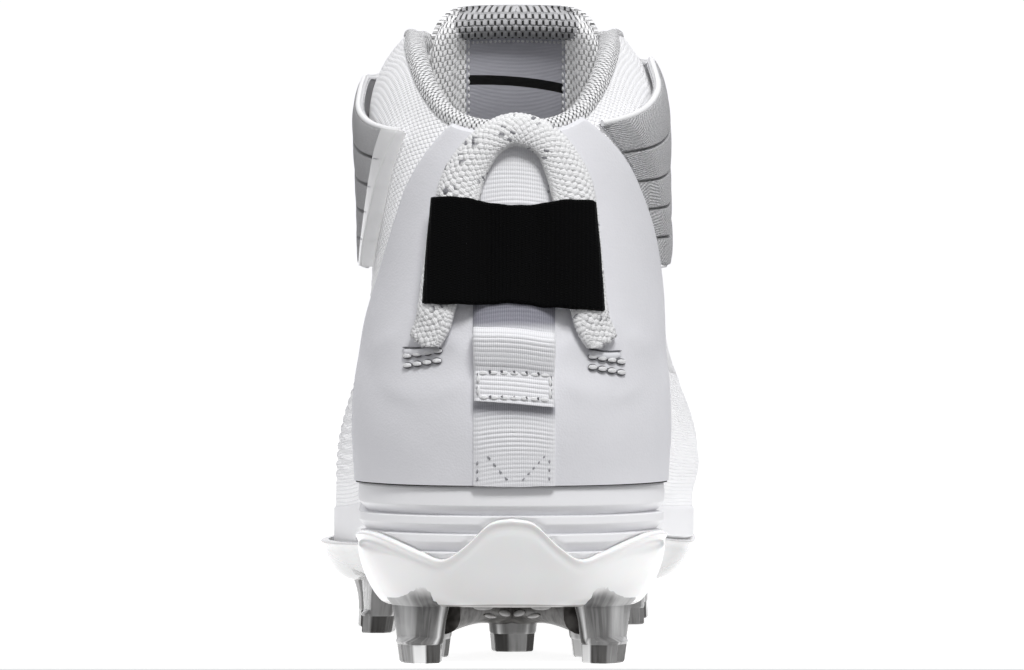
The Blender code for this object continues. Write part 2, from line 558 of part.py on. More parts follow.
def tongue_grid(rows=16, cols=13, inner=False):
    grid = []
    first, last = TONGUES[0][0], TONGUES[-1][0]
    for t in np.linspace(first, last, rows):
        half, arc, thick, rim = (float(column(TONGUES, TONGUE_ROW, "ridge_t", c, t)) for c in ("half_width", "arc", "thick", "rim"))
        at, along, inward = front_point(t)
        depth = WALL + GAP + 0.9
        line = []
        for w in np.linspace(-1, 1, cols):
            angle = w * half / arc
            x = arc * math.sin(angle)
            drop = depth + arc * (1 - math.cos(angle))
            if inner:
                swell = rim * ease(0.45, 0.8, abs(w)) * (1 - ease(0.86, 1.02, abs(w)) * 0.9)
                edge = 1 - 0.55 * ease(0.8, 1.0, abs(w))
                drop += (thick * edge + swell)
                x -= math.copysign(0.35 * abs(w), w)
            side = at + inward * drop
            line.append((float(station("ridge_x", side[0])) + x, side[0], side[1]))
        grid.append(line)
    return np.array(grid)


def build_tongue(mat):
    return shell("tongue", tongue_grid(), tongue_grid(inner=True), mat)


def strap_grid(rows, cols, out):
    """Points of the strap: rows from its bottom edge to its top, columns from the outer rear end to the inner one."""
    grid = []
    for w in np.linspace(0, 1, rows):
        line = []
        for run in np.linspace(-1, 1, cols):
            low, top, off = (float(column(STRAPS, STRAP_ROW, "run", c, run)) for c in ("bottom_z", "top_z", "stand_off"))
            z = low + (top - low) * w
            ends, names = (STRAP_END_LATS, STRAP_END_LAT) if run < 0 else (STRAP_END_MEDS, STRAP_END_MED)
            end_y = float(column(ends, names, "z", "y", z))
            top_y = float(np.interp(z, RIDGE_LINE[:, 1], RIDGE_LINE[:, 0]))
            share = max(abs(run), 0.012)
            y = top_y - (top_y - end_y) * share**2
            point, _ = place(y, z, -1.0 if run < 0 else 1.0, off + out)
            if abs(run) < 0.012:
                point[0] = station("ridge_x", y)
            line.append(point)
        grid.append(line)
    return np.array(grid)


def build_strap(mat):
    return shell("ankle_strap", strap_grid(5, 31, STRAP), strap_grid(5, 31, 0.0), mat)


def back_point(x, z, out):
    """Point of the heel's back seen from behind at x, z, moved out along the surface's normal."""
    side = -1.0 if x < 0 else 1.0
    by, br = float(column(BACKS, BACK, "z", "y", z)), float(column(BACKS, BACK, "z", "round", z))
    ys = by + np.linspace(0.0005, 1, 240) ** 2 * br
    w = half_width(ys, np.full_like(ys, z), side)
    y = float(np.interp(abs(x), w, ys))
    point, normal = place(y, z, side, out)
    if abs(x) < 0.6:
        point[0] = x
    return point, normal


def build_webbing(mat):
    rows, cols = 13, 5
    grids = []
    for out in (COUNTER + 2 * GAP + WEB_THICK, COUNTER + 2 * GAP):
        grids.append(np.array([
            [back_point(x + 0.5, z, out)[0] for x in np.linspace(-WEB_HALF, WEB_HALF, cols)]
            for z in np.linspace(WEB_BOTTOM, WEB_TOP, rows)
        ]))
    return shell("heel_webbing", grids[0], grids[1], mat)


def build_tab(mat):
    """Folded webbing: sewn flat at its foot, standing off in a loop above, in one closed strip."""
    base = COUNTER + 3 * GAP + WEB_THICK
    cols = 5
    front, back = [], []
    for z in np.linspace(TAB_BOTTOM, TAB_TOP, 9):
        share = (z - TAB_BOTTOM) / (TAB_TOP - TAB_BOTTOM)
        stand = TAB_STANDS * float(ease(0.25, 1.0, share))
        bulge = 1.2 * math.sin(math.pi * share)
        front.append([back_point(x + 0.5, z - 0.04 * x * share, base + 1.6 + stand + bulge * 0.4)[0] for x in np.linspace(-TAB_HALF, TAB_HALF, cols)])
        back.append([back_point(x + 0.5, z - 0.04 * x * share, base + stand * 0.55)[0] for x in np.linspace(-TAB_HALF, TAB_HALF, cols)])
    return shell("heel_tab", np.array(front), np.array(back), mat)


def cord_line(count):
    """Centre line, across and outward directions of the pull cord."""
    steps = np.linspace(0, len(CORDS) - 1, count)
    rows = [(i, *r) for i, r in enumerate(CORDS)]
    names = ("i", *CORD)
    x, z, off = (column(rows, names, "i", c, steps) for c in CORD)
    centre, outward = [], []
    for a, b, c in zip(x, z, off):
        p, n = back_point(float(a), float(b), COUNTER + 2 * GAP + float(c))
        centre.append(p)
        outward.append(n)
    centre, outward = np.array(centre), np.array(outward)
    along = np.gradient(centre, axis=0)
    along /= np.linalg.norm(along, axis=1, keepdims=True)
    outward -= (outward * along).sum(1, keepdims=True) * along
    outward /= np.linalg.norm(outward, axis=1, keepdims=True)
    return centre, np.cross(along, outward), outward


def build_cord(mat):
    centre, across, outward = cord_line(27)
    turn = np.linspace(0, 2 * math.pi, 8, endpoint=False)
    rings = []
    for c, a, o in zip(centre, across, outward):
        rings.append([
            c + a * (CORD_WIDE / 2 * math.copysign(abs(math.cos(s)) ** 0.8, math.cos(s))) + o * (CORD_THICK / 2 * math.copysign(abs(math.sin(s)) ** 0.8, math.sin(s)))
            for s in turn
        ])
    return loft("pull_cord", rings, mat)


def build_band(mat):
    """Strip of webbing over both legs of the cord, sewn down onto the heel's webbing between them."""
    grids = []
    for top in (BAND_THICK, 0.0):
        grid = []
        for z in np.linspace(BAND_BOTTOM, BAND_TOP, 6):
            share = (z - BAND_BOTTOM) / (BAND_TOP - BAND_BOTTOM)
            half = BAND_HALF_BOTTOM + (BAND_HALF_TOP - BAND_HALF_BOTTOM) * share
            stand = COUNTER + 2 * GAP + float(np.interp(z, *BAND_STAND)) + CORD_THICK / 2 + 1.3 * GAP
            sewn = COUNTER + 3 * GAP + WEB_THICK
            line = []
            for s in np.linspace(-1, 1, 17):
                lift = float(ease(0.30, 0.62, abs(s)))
                edge = 1.4 * (1 - float(ease(0.0, 0.75, abs(s)))) * (2 * share - 1)
                line.append(back_point(0.4 + s * half, z - edge, sewn + (stand - sewn) * lift + top)[0])
            grid.append(line)
        grids.append(np.array(grid))
    return shell("pull_band", grids[0], grids[1], mat)


def build_midsole(mat):
    q = around(56)
    feather = sole_at(q, "feather")
    bottom = sole_at(q, "bottom") + PLATE_FLOOR + GAP
    rim = rim_height(q)
    outer = [sole_loop(q, 0.5, feather)]
    for share in (0.30, 0.62):
        z = feather + (rim - feather) * share
        outer.append(sole_loop(q, 0.5, z))
    plate = plate_offset(q, np.ones_like(q)) - PLATE_CUP - GAP
    join = np.minimum(rim + 1.0, feather - 2)
    outer.append(sole_loop(q, np.minimum(plate + 0.2, 0.5), join))
    for share in (0.75, 0.45, 0.22):
        z = bottom + (rim - bottom) * share
        full = (z - sole_at(q, "bottom")) / (rim - sole_at(q, "bottom"))
        outer.append(sole_loop(q, plate_offset(q, full) - PLATE_CUP - GAP - 0.3, z))
    full = (bottom - sole_at(q, "bottom")) / (rim - sole_at(q, "bottom"))
    outer.append(sole_loop(q, plate_offset(q, full * 0.8) - PLATE_CUP - 1.6, bottom))
    bed = sole_at(q, "footbed")
    inner = [sole_loop(q, -WALL - 0.3, feather), sole_loop(q, -WALL - 0.6, (feather + bed) / 2), sole_loop(q, -WALL - 2.2, bed)]
    return tray("midsole", outer, inner, mat)


def build_insole(mat):
    q = around(48)
    bed = sole_at(q, "footbed") + GAP
    rings = [sole_loop(q, -WALL - 4.0, bed), sole_loop(q, -WALL - 2.0, bed + INSOLE * 0.5), sole_loop(q, -WALL - 2.6, bed + INSOLE)]
    return tray("insole", [rings[2], rings[1], rings[0]], [sole_loop(q, -WALL - 5.0, bed + INSOLE)], mat)


def stud_rings(stud):
    row = dict(zip(STUD, stud))
    x, y = row["x"], row["y"]
    base = float(sole("bottom", y)) + 2.2
    yaw = math.radians(row["yaw"])
    rings = []
    for z, grow in ((0.0, 0.90), (0.8, 1.0), (5.0, 1.12), (base * 0.72, row["flare"] * 0.86), (base, row["flare"] * 1.25)):
        ring = []
        for s in np.linspace(0, 2 * math.pi, 8, endpoint=False):
            c, n = math.cos(s), math.sin(s)
            a = row["wide"] / 2 * grow * math.copysign(abs(c) ** 0.62, c)
            b = row["long"] / 2 * grow * math.copysign(abs(n) ** 0.62, n)
            ring.append((x * (1 - 0.004 * z) + a * math.cos(yaw) - b * math.sin(yaw), y + a * math.sin(yaw) + b * math.cos(yaw), z))
        rings.append(ring)
    return rings


def build_outsole(mat):
    q = around(56)
    bottom, rim = sole_at(q, "bottom"), rim_height(q)
    outer = []
    for share in (1.0, 0.72, 0.45, 0.22, 0.07):
        outer.append(sole_loop(q, plate_offset(q, np.full_like(q, share)), bottom + (rim - bottom) * share))
    outer.append(sole_loop(q, plate_offset(q, np.zeros_like(q)) - 1.0, bottom))
    inner = []
    floor = bottom + PLATE_FLOOR
    for share in (1.0, 0.78, 0.5, 0.3):
        z = floor + (rim - floor) * share
        full = (z - bottom) / (rim - bottom)
        inner.append(sole_loop(q, plate_offset(q, full) - PLATE_CUP, z))
    full = (floor - bottom) / (rim - bottom)
    inner.append(sole_loop(q, plate_offset(q, full) - PLATE_CUP - 0.6, floor))
    plate = tray("outsole", outer, inner, mat)
    pieces = [loft("stud_" + s[0], stud_rings(s), mat) for s in STUDS]
    for side in (-1, 1):                      # raised webs under the heel, from the rear studs to the centre one
        rings = []
        for share in np.linspace(0, 1, 5):
            x, y = side * (20.0 - 18.0 * share), 24.0 + 40.0 * share
            low = 9.4 + 1.2 * math.sin(math.pi * share)
            across = np.array([40.0, side * 18.0]) / math.hypot(40, 18)
            ring = []
            for a, z in ((-5.5, 17.0), (-3.2, low), (3.2, low), (5.5, 17.0)):
                ring.append((x + across[0] * a, y + across[1] * a, z))
            rings.append(ring)
        pieces.append(loft("web_%d" % side, rings, mat))
    for piece in pieces:
        cut = plate.modifiers.new("join_" + piece.name, "BOOLEAN")
        cut.operation, cut.solver, cut.object = "UNION", "EXACT", piece
        piece.hide_render, piece.display_type = True, "WIRE"
    return plate


def lace_path(side):
    """One lace's zigzag over the throat: its centre line from the lowest eyelet to the highest."""
    points = []
    per = 6
    for i in range(LACE_ROWS - 1):
        here = side if i % 2 == 0 else -side
        for k in range(per):
            share = k / per
            points.append((i + share, here * (1 - 2 * share)))
    points.append((LACE_ROWS - 1, side if (LACE_ROWS - 1) % 2 == 0 else -side))
    return points


def lace_solid(name, side, lift, mat):
    rows = []
    for level, across in lace_path(side):
        t = LACE_FIRST + (LACE_LAST - LACE_FIRST) * level / (LACE_ROWS - 1)
        share = (t - THROAT_START) / (1 - THROAT_START)
        reach = THROAT_HALF_LOW + (THROAT_HALF_TOP - THROAT_HALF_LOW) * share + LACE_REACH
        at, along, inward = front_point(t)
        half = across * reach
        y0, z0 = at
        lo, hi = -3.0, 26.0
        # height of the upper's surface beside the ridge, followed by bisection along the inward normal
        for _ in range(24):
            mid = (lo + hi) / 2
            y, z = y0 + inward[0] * mid, z0 + inward[1] * mid
            if float(half_width(y, z, -1 if half < 0 else 1)) < abs(half):
                lo = mid
            else:
                hi = mid
        drop = max(hi, 0.0)
        flat = 0.35 * reach * 0.12
        y, z = y0 + inward[0] * (drop - flat * 0), z0 + inward[1] * (drop - flat * 0)
        x = float(station("ridge_x", y)) + half
        rows.append((np.array([x, y, z]), along, inward, abs(across)))
    centre = np.array([r[0] for r in rows])
    outward = np.array([[0.0, -r[2][0], -r[2][1]] for r in rows])
    side_lean = np.array([[r[0][0] - station("ridge_x", r[0][1]), 0, 0] for r in rows]) / 42.0
    outward = outward + side_lean
    outward /= np.linalg.norm(outward, axis=1, keepdims=True)
    centre = centre + outward * (GAP + LACE_THICK / 2 + 0.4 + lift)
    tangent = np.gradient(centre, axis=0)
    tangent /= np.linalg.norm(tangent, axis=1, keepdims=True)
    wide = np.cross(tangent, outward)
    wide /= np.linalg.norm(wide, axis=1, keepdims=True)
    rings = []
    for c, w, o in zip(centre, wide, outward):
        rings.append([c + w * (LACE_WIDE / 2 * a) + o * (LACE_THICK / 2 * b) for a, b in ((-1, -0.2), (-0.85, -1), (0.85, -1), (1, -0.2), (0.85, 1), (-0.85, 1))])
    return loft(name, rings, mat)


def build_laces(mat):
    first, second = lace_solid("laces", -1, 0.0, mat), lace_solid("lace_second", 1, 0.4, mat)
    join = first.modifiers.new("join", "BOOLEAN")
    join.operation, join.solver, join.object = "UNION", "EXACT", second
    second.hide_render, second.display_type = True, "WIRE"
    return first


def main():
    for obj in list(bpy.data.objects):
        bpy.data.objects.remove(obj, do_unlink=True)
    clear = material("clear_plate", (0.86, 0.87, 0.86), 0.12)
    white_sole = material("midsole_white", (0.90, 0.90, 0.91), 0.42)
    mesh = material("mesh_white", (0.88, 0.88, 0.90), 0.85)
    smooth = material("counter_white", (0.82, 0.82, 0.85), 0.5)
    knit = material("knit_grey", (0.62, 0.62, 0.65), 0.95)
    elastic = material("strap_white", (0.80, 0.80, 0.83), 0.9)
    web = material("webbing_white", (0.86, 0.86, 0.90), 0.8)
    braid = material("braid_white", (0.90, 0.90, 0.90), 0.85)
    black = material("band_black", (0.012, 0.012, 0.014), 0.85)
    foam = material("insole_grey", (0.45, 0.45, 0.48), 0.9)
    build_outsole(clear)
    build_midsole(white_sole)
    build_insole(foam)
    build_upper(mesh)
    build_counter(smooth)
    build_collar(knit)
    build_tongue(knit)
    build_strap(elastic)
    build_webbing(web)
    build_tab(web)
    build_cord(braid)
    build_band(black)
    build_laces(braid)


main()
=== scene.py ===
"""Looks of the mid-cut football cleat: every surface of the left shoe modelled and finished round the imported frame.

Lengths in the functions are millimetres in the last's own frame: y from the back of the heel to the toe, x from the
heel's centre line towards the inner side, z up from the ground.  to_world() turns them into the frame's metres.  The
tables and the functions of the last are those of the CAD source, so every piece here lies on the same surfaces.
"""

import math

import bmesh
import bpy
import numpy as np
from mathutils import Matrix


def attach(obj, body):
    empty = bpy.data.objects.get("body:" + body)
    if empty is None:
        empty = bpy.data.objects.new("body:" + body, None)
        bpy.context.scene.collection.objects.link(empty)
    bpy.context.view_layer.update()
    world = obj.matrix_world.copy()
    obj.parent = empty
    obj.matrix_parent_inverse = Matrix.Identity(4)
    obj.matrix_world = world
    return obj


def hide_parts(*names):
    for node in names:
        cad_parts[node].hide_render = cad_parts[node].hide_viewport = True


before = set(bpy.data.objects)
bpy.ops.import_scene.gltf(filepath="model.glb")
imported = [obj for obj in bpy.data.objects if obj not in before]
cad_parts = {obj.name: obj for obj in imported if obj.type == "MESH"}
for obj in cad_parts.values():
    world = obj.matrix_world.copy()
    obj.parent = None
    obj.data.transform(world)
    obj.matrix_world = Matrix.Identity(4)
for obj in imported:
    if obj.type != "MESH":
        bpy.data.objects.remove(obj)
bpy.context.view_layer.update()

MM = 0.001
# ---- driving sizes, mm ------------------------------------------------------------------------------------------
HEEL_TO_TOE = 295.0        # upper, back of heel to toe tip
MID_X, MID_Y = -0.6, 145.6  # middle of the whole shoe's box in the working frame
WALL = 2.8                 # upper: mesh, foam and lining together
GAP = 0.35                 # between pieces that meet
COUNTER = 1.4              # heel counter overlay
STRAP = 2.2                # ankle strap
PLATE_FLOOR = 3.6          # outsole plate under the foot
PLATE_CUP = 1.7            # outsole plate round the sides
INSOLE = 3.0
TOE_CENTRE, TOE_REACH = 250.0, 45.0   # the toe box rounds off from TOE_CENTRE over TOE_REACH
ARCH_POWER = 2.25          # fullness of the forefoot's sections
BACK_POWER = 2.1           # fullness of the heel seen from above
SHOULDER = 24.0            # height over which the padded collar turns in

# ---- sections of the last, a row for each station along the foot ----------------------------------------------
STATION = ("y", "ridge_x", "lat_foot", "lat_belly", "lat_ankle", "lat_top", "med_foot", "med_belly", "med_ankle", "med_top")
STATIONS = [
    (0.0, 0.0, 37.4, 38.3, 34.0, 35.0, 37.4, 38.1, 35.2, 35.2),
    (30.0, 0.0, 38.0, 38.7, 34.6, 36.2, 37.8, 38.4, 36.2, 36.4),
    (60.0, 0.0, 37.6, 38.2, 35.4, 36.6, 37.0, 37.8, 36.8, 36.8),
    (90.0, 0.3, 37.6, 38.4, 36.8, 36.4, 35.8, 38.0, 38.0, 36.8),
    (112.0, 0.3, 39.0, 39.8, 37.4, 35.0, 35.8, 39.6, 38.6, 36.0),
    (132.0, 0.4, 42.4, 42.6, 38.6, 34.0, 38.0, 42.4, 40.4, 35.0),
    (152.0, 0.8, 46.4, 46.6, 41.0, 34.0, 42.0, 46.4, 43.0, 36.0),
    (175.0, 1.8, 50.4, 50.2, 45.0, 36.0, 47.0, 49.6, 46.4, 38.0),
    (200.0, 3.4, 52.6, 52.4, 48.0, 40.0, 47.4, 48.4, 46.0, 40.0),
    (222.0, 5.0, 51.8, 51.6, 48.0, 42.0, 46.0, 46.6, 44.0, 40.0),
    (245.0, 6.6, 48.4, 48.4, 46.0, 42.0, 43.2, 43.6, 42.0, 40.0),
    (268.0, 7.8, 45.4, 45.4, 44.0, 42.0, 40.2, 40.4, 40.0, 39.0),
    (297.0, 8.4, 42.0, 42.0, 41.0, 40.0, 38.0, 38.0, 38.0, 38.0),
]
BACK = ("z", "y", "round")          # back of the heel: where it is and how far it rounds
BACKS = [
    (14.0, 6.0, 36.0), (30.0, 2.6, 38.0), (44.0, 1.2, 39.0), (60.0, 0.0, 40.0), (78.0, 1.8, 39.0), (96.0, 5.4, 38.0),
    (112.0, 8.6, 37.0), (126.0, 10.4, 36.0), (140.0, 12.0, 35.0), (172.0, 13.0, 34.0),
]
RIDGE = ("y", "z", "round")         # vamp and instep line up to the front of the collar
RIDGES = [
    (250.0, 65.0, 29.0), (228.0, 71.5, 35.0), (205.0, 80.0, 42.0), (184.0, 90.0, 47.0), (166.0, 101.0, 48.0),
    (151.0, 114.0, 45.0), (139.0, 128.0, 41.0), (130.5, 142.0, 38.0), (125.0, 156.0, 36.0), (122.0, 170.0, 35.0),
    (120.5, 184.0, 35.0),
]
COLLAR = ("y", "z", "turn_in")      # top edge of the upper and how far its padded shoulder turns in there
COLLARS = [
    (8.0, 130.0, 0.03), (12.0, 131.5, 0.05), (16.0, 134.8, 0.10), (22.0, 140.8, 0.17), (29.0, 146.8, 0.23),
    (38.0, 152.0, 0.27), (50.0, 155.6, 0.28), (70.0, 158.5, 0.27), (95.0, 159.5, 0.22), (124.0, 161.0, 0.12),
]
SOLE = ("y", "feather", "footbed", "bottom", "rim_lat", "rim_med", "bulge_lat", "bulge_med", "tuck_lat", "tuck_med")
SOLES = [                            # heights of the sole's edges and how far its sides stand out and tuck under
    (0.0, 44.0, 30.0, 14.4, 32.0, 32.0, 0.8, 0.8, 6.0, 6.0),
    (45.0, 44.0, 30.0, 14.4, 31.0, 31.0, 0.8, 0.8, 6.0, 6.4),
    (75.0, 42.4, 29.6, 16.4, 27.6, 27.6, 0.6, 0.4, 8.0, 9.0),
    (105.0, 38.4, 28.0, 18.4, 26.4, 27.6, 0.8, 0.0, 9.0, 10.5),
    (135.0, 35.2, 25.0, 16.0, 25.2, 26.6, 2.2, 0.0, 7.0, 10.5),
    (175.0, 33.4, 22.8, 13.2, 24.4, 24.4, 3.8, 0.2, 5.0, 10.5),
    (215.0, 32.6, 22.4, 13.0, 24.2, 24.4, 2.8, 0.6, 5.6, 9.0),
    (250.0, 33.6, 23.6, 14.4, 25.0, 25.0, 1.8, 1.2, 6.4, 7.4),
    (275.0, 35.8, 26.2, 17.6, 27.6, 27.6, 1.4, 1.4, 7.0, 7.0),
    (298.0, 38.4, 29.6, 21.6, 31.0, 31.0, 1.2, 1.2, 7.0, 7.0),
]
CROWN = ("x", "lift")               # scallops of the heel cup's edge, seen from behind: height over the plain rim
CROWNS = [(0.0, 4.2), (5.0, 3.3), (11.0, -2.2), (16.6, -5.8), (22.0, -4.2), (29.0, -1.2), (35.0, 0.6), (39.0, 0.6)]
COUNTER_EDGE = ("z", "lat_y", "med_y")   # front edge of the heel counter in side view
COUNTER_EDGES = [
    (40.0, 92.0, 98.0), (48.0, 84.0, 90.0), (58.0, 64.0, 74.0), (68.0, 50.0, 62.0), (78.0, 40.0, 52.0), (92.0, 30.5, 41.0),
    (105.0, 24.5, 33.5), (117.0, 20.5, 26.5), (128.0, 16.4, 20.4), (136.0, 13.6, 15.6), (150.0, 12.4, 13.0),
]
STRAP_ROW = ("run", "bottom_z", "top_z", "stand_off")   # run: -1 outer rear end, 0 over the instep, 1 inner rear end
STRAPS = [
    (-1.0, 98.0, 131.0, 1.7), (-0.6, 103.0, 145.0, 1.4), (-0.3, 111.0, 153.0, 1.0), (0.0, 119.0, 158.0, 2.0),
    (0.3, 111.0, 154.5, 1.0), (0.6, 103.5, 149.0, 1.1), (1.0, 98.0, 133.0, 1.2),
]
STRAP_END_LAT = ("z", "y")          # where the strap's free end stops on the outer side
STRAP_END_LATS = [(90.0, 35.0), (98.0, 33.0), (112.0, 28.0), (131.0, 22.5), (140.0, 21.0)]
STRAP_END_MED = ("z", "y")          # and where it comes out from under the counter on the inner side
STRAP_END_MEDS = [(90.0, 44.5), (98.0, 40.0), (105.0, 35.5), (117.0, 28.5), (128.0, 22.4), (140.0, 17.0)]
TONGUE_ROW = ("ridge_t", "half_width", "arc", "thick", "rim")
TONGUES = [                          # a row for each section of the tongue, from the vamp to its top edge
    (0.30, 15.0, 62.0, 2.6, 0.0), (0.40, 18.0, 54.0, 3.4, 0.0), (0.52, 20.0, 46.0, 4.4, 0.4), (0.64, 21.0, 38.0, 5.4, 1.0),
    (0.76, 22.0, 31.0, 5.6, 1.4), (0.88, 24.0, 28.0, 5.2, 2.0), (0.96, 25.4, 26.5, 5.2, 2.8), (1.01, 24.4, 26.0, 5.6, 2.8),
    (1.04, 19.0, 26.0, 4.6, 1.6),
]
STUD = ("name", "x", "y", "wide", "long", "yaw", "flare")
STUDS = [
    ("heel_rear_lat", -22.6, 19.0, 9.6, 12.5, 24.0, 1.55), ("heel_rear_med", 22.6, 19.0, 9.6, 12.5, -24.0, 1.55),
    ("heel_front_lat", -20.4, 44.0, 8.6, 12.0, 6.0, 1.5), ("heel_front_med", 19.6, 44.0, 8.6, 12.0, -6.0, 1.5),
    ("heel_centre", 0.2, 66.0, 11.0, 9.0, 0.0, 1.45),
    ("ball_lat_rear", -36.6, 152.0, 9.0, 13.0, -8.0, 1.5), ("ball_lat", -38.4, 182.0, 9.0, 13.0, 0.0, 1.5),
    ("ball_lat_front", -33.0, 214.0, 9.0, 13.0, 10.0, 1.5), ("ball_med_rear", 26.0, 160.0, 9.0, 13.0, 10.0, 1.5),
    ("ball_med", 32.6, 194.0, 9.0, 13.0, 4.0, 1.5), ("ball_med_front", 34.6, 226.0, 9.0, 13.0, -6.0, 1.5),
    ("toe_lat", -12.0, 256.0, 9.0, 12.0, 24.0, 1.45), ("toe_med", 23.0, 259.0, 9.0, 12.0, -20.0, 1.45),
]
CORD = ("x", "z", "stand_off")       # pull cord's centre line seen from behind, and its height off the counter
CORDS = [
    (-20.6, 76.0, 2.2), (-19.2, 84.0, 2.2), (-17.4, 93.0, 2.4), (-16.0, 103.0, 2.6), (-14.9, 113.0, 2.6), (-12.6, 121.0, 2.8),
    (-7.6, 128.2, 3.2), (0.2, 131.4, 3.4), (8.0, 128.4, 3.2), (13.2, 121.0, 2.8), (15.5, 113.0, 2.6), (16.6, 103.0, 2.6),
    (17.8, 93.0, 2.4), (19.6, 84.0, 2.2), (20.9, 76.0, 2.2),
]
CORD_WIDE, CORD_THICK = 9.0, 4.0
BAND_BOTTOM, BAND_TOP = 88.0, 114.4  # black grip band round the cord's legs
BAND_HALF_BOTTOM, BAND_HALF_TOP = 19.4, 17.4
BAND_THICK = 1.1
BAND_STAND = ((88.0, 103.0, 114.4), (2.45, 2.75, 2.75))   # height, cord's centre line off the counter
WEB_HALF, WEB_THICK, WEB_BOTTOM, WEB_TOP = 10.0, 1.0, 45.0, 127.0
TAB_HALF, TAB_BOTTOM, TAB_TOP, TAB_STANDS = 10.2, 65.0, 84.6, 2.6
THROAT_START, THROAT_HALF_LOW, THROAT_HALF_TOP = 0.345, 15.0, 20.0
LACE_ROWS, LACE_WIDE, LACE_THICK = 5, 6.0, 1.5
LACE_FIRST, LACE_LAST, LACE_REACH = 0.40, 0.71, 5.0


# ---- numbers from the tables -----------------------------------------------------------------------------------
def column(rows, names, key, name, at):
    """A smooth curve through one named column of a table, against another."""
    k, c = names.index(key), names.index(name)
    xs = np.array([r[k] for r in rows], float)
    ys = np.array([r[c] for r in rows], float)
    if xs[0] > xs[-1]:
        xs, ys = xs[::-1], ys[::-1]
    h = np.diff(xs)
    d = np.diff(ys) / h
    m = np.empty_like(xs)
    m[0], m[-1] = d[0], d[-1]
    m[1:-1] = (d[:-1] * h[1:] + d[1:] * h[:-1]) / (h[:-1] + h[1:])
    at = np.clip(np.asarray(at, float), xs[0], xs[-1])
    i = np.clip(np.searchsorted(xs, at) - 1, 0, len(h) - 1)
    t = (at - xs[i]) / h[i]
    return (
        ys[i] * (2 * t**3 - 3 * t**2 + 1)
        + m[i] * h[i] * (t**3 - 2 * t**2 + t)
        + ys[i + 1] * (3 * t**2 - 2 * t**3)
        + m[i + 1] * h[i] * (t**3 - t**2)
    )


def station(name, y):
    return column(STATIONS, STATION, "y", name, y)


def sole(name, y):
    return column(SOLES, SOLE, "y", name, y)


def ease(low, high, x):
    t = np.clip((np.asarray(x, float) - low) / (high - low), 0, 1)
    return t * t * (3 - 2 * t)


def rounding(share, power):
    """0 at the edge, 1 once share reaches 1, as the quarter of a full ellipse."""
    s = 1 - np.clip(share, 0, 1)
    return (1 - s**power) ** (1 / power)


def dense_ridge():
    rows = np.array(RIDGES, float)
    at = np.linspace(0, len(rows) - 1, 121)
    made = []
    for c in range(3):
        pairs = [(i, r[c]) for i, r in enumerate(RIDGES)]
        made.append(column(pairs, ("i", "v"), "i", "v", at))
    return np.stack(made, axis=-1)


RIDGE_LINE = dense_ridge()


def ridge_z(y):
    """Height of the instep line over the vamp, run on over the toe box."""
    y = np.asarray(y, float)
    slope = (RIDGES[0][1] - RIDGES[1][1]) / (RIDGES[0][0] - RIDGES[1][0])
    over = np.interp(-y, -RIDGE_LINE[:, 0], RIDGE_LINE[:, 1])
    return np.where(y > RIDGES[0][0], RIDGES[0][1] + (y - RIDGES[0][0]) * slope * 0.6, over)


def ridge_gap(y, z):
    """(distance to the instep line, its rounding there) of points in side view."""
    a, b = RIDGE_LINE[:-1], RIDGE_LINE[1:]
    d = b[:, :2] - a[:, :2]
    p = np.stack([np.ravel(y), np.ravel(z)], axis=-1)
    t = np.clip(((p[:, None] - a[None, :, :2]) * d[None]).sum(-1) / (d**2).sum(-1)[None], 0, 1)
    near = a[None, :, :2] + t[..., None] * d[None]
    gap = np.linalg.norm(p[:, None] - near, axis=-1)
    best = gap.argmin(axis=1)
    row = np.arange(len(p))
    tb = t[row, best]
    radius = a[best, 2] * (1 - tb) + b[best, 2] * tb
    v = p - near[row, best]
    side = d[best, 0] * v[:, 1] - d[best, 1] * v[:, 0]
    shape = np.shape(y)
    return (np.where(side > 0, gap[row, best], -gap[row, best])).reshape(shape), radius.reshape(shape)


def half_width(y, z, side):
    """Half width of the upper's outer surface at a point of its side view; side is -1 outer, 1 inner."""
    y, z = np.broadcast_arrays(np.asarray(y, float), np.asarray(z, float))
    s = "lat_" if side < 0 else "med_"
    zf = sole("feather", y)
    foot, belly, ankle, top = (station(s + c, y) for c in ("foot", "belly", "ankle", "top"))
    w = foot + (belly - foot) * ease(zf, zf + 14, z)
    w = w + (ankle - belly) * ease(zf + 14, 100, z)
    w = w + (top - ankle) * ease(100, 146, z)
    back_y, back_r = column(BACKS, BACK, "z", "y", z), column(BACKS, BACK, "z", "round", z)
    w = w * rounding((y - back_y) / back_r, BACK_POWER)
    gap, radius = ridge_gap(y, z)
    front = rounding(gap / radius, ARCH_POWER)
    a = np.clip((y - TOE_CENTRE) / TOE_REACH, 0, 1)
    zc = zf + 1.0
    b = np.clip((z - zc) / np.maximum(ridge_z(y) - zc, 1), 0, 1)
    toe = np.clip(1 - a**ARCH_POWER - b**ARCH_POWER, 0, 1) ** (1 / ARCH_POWER)
    mix = ease(228, 252, y)
    w = w * (front * (1 - mix) + toe * mix)
    turn = column(COLLARS, COLLAR, "y", "turn_in", y)
    up = np.clip(1 - (column(COLLARS, COLLAR, "y", "z", y) - z) / SHOULDER, 0, 1.3)
    return w * (1 - turn * up**2.6)


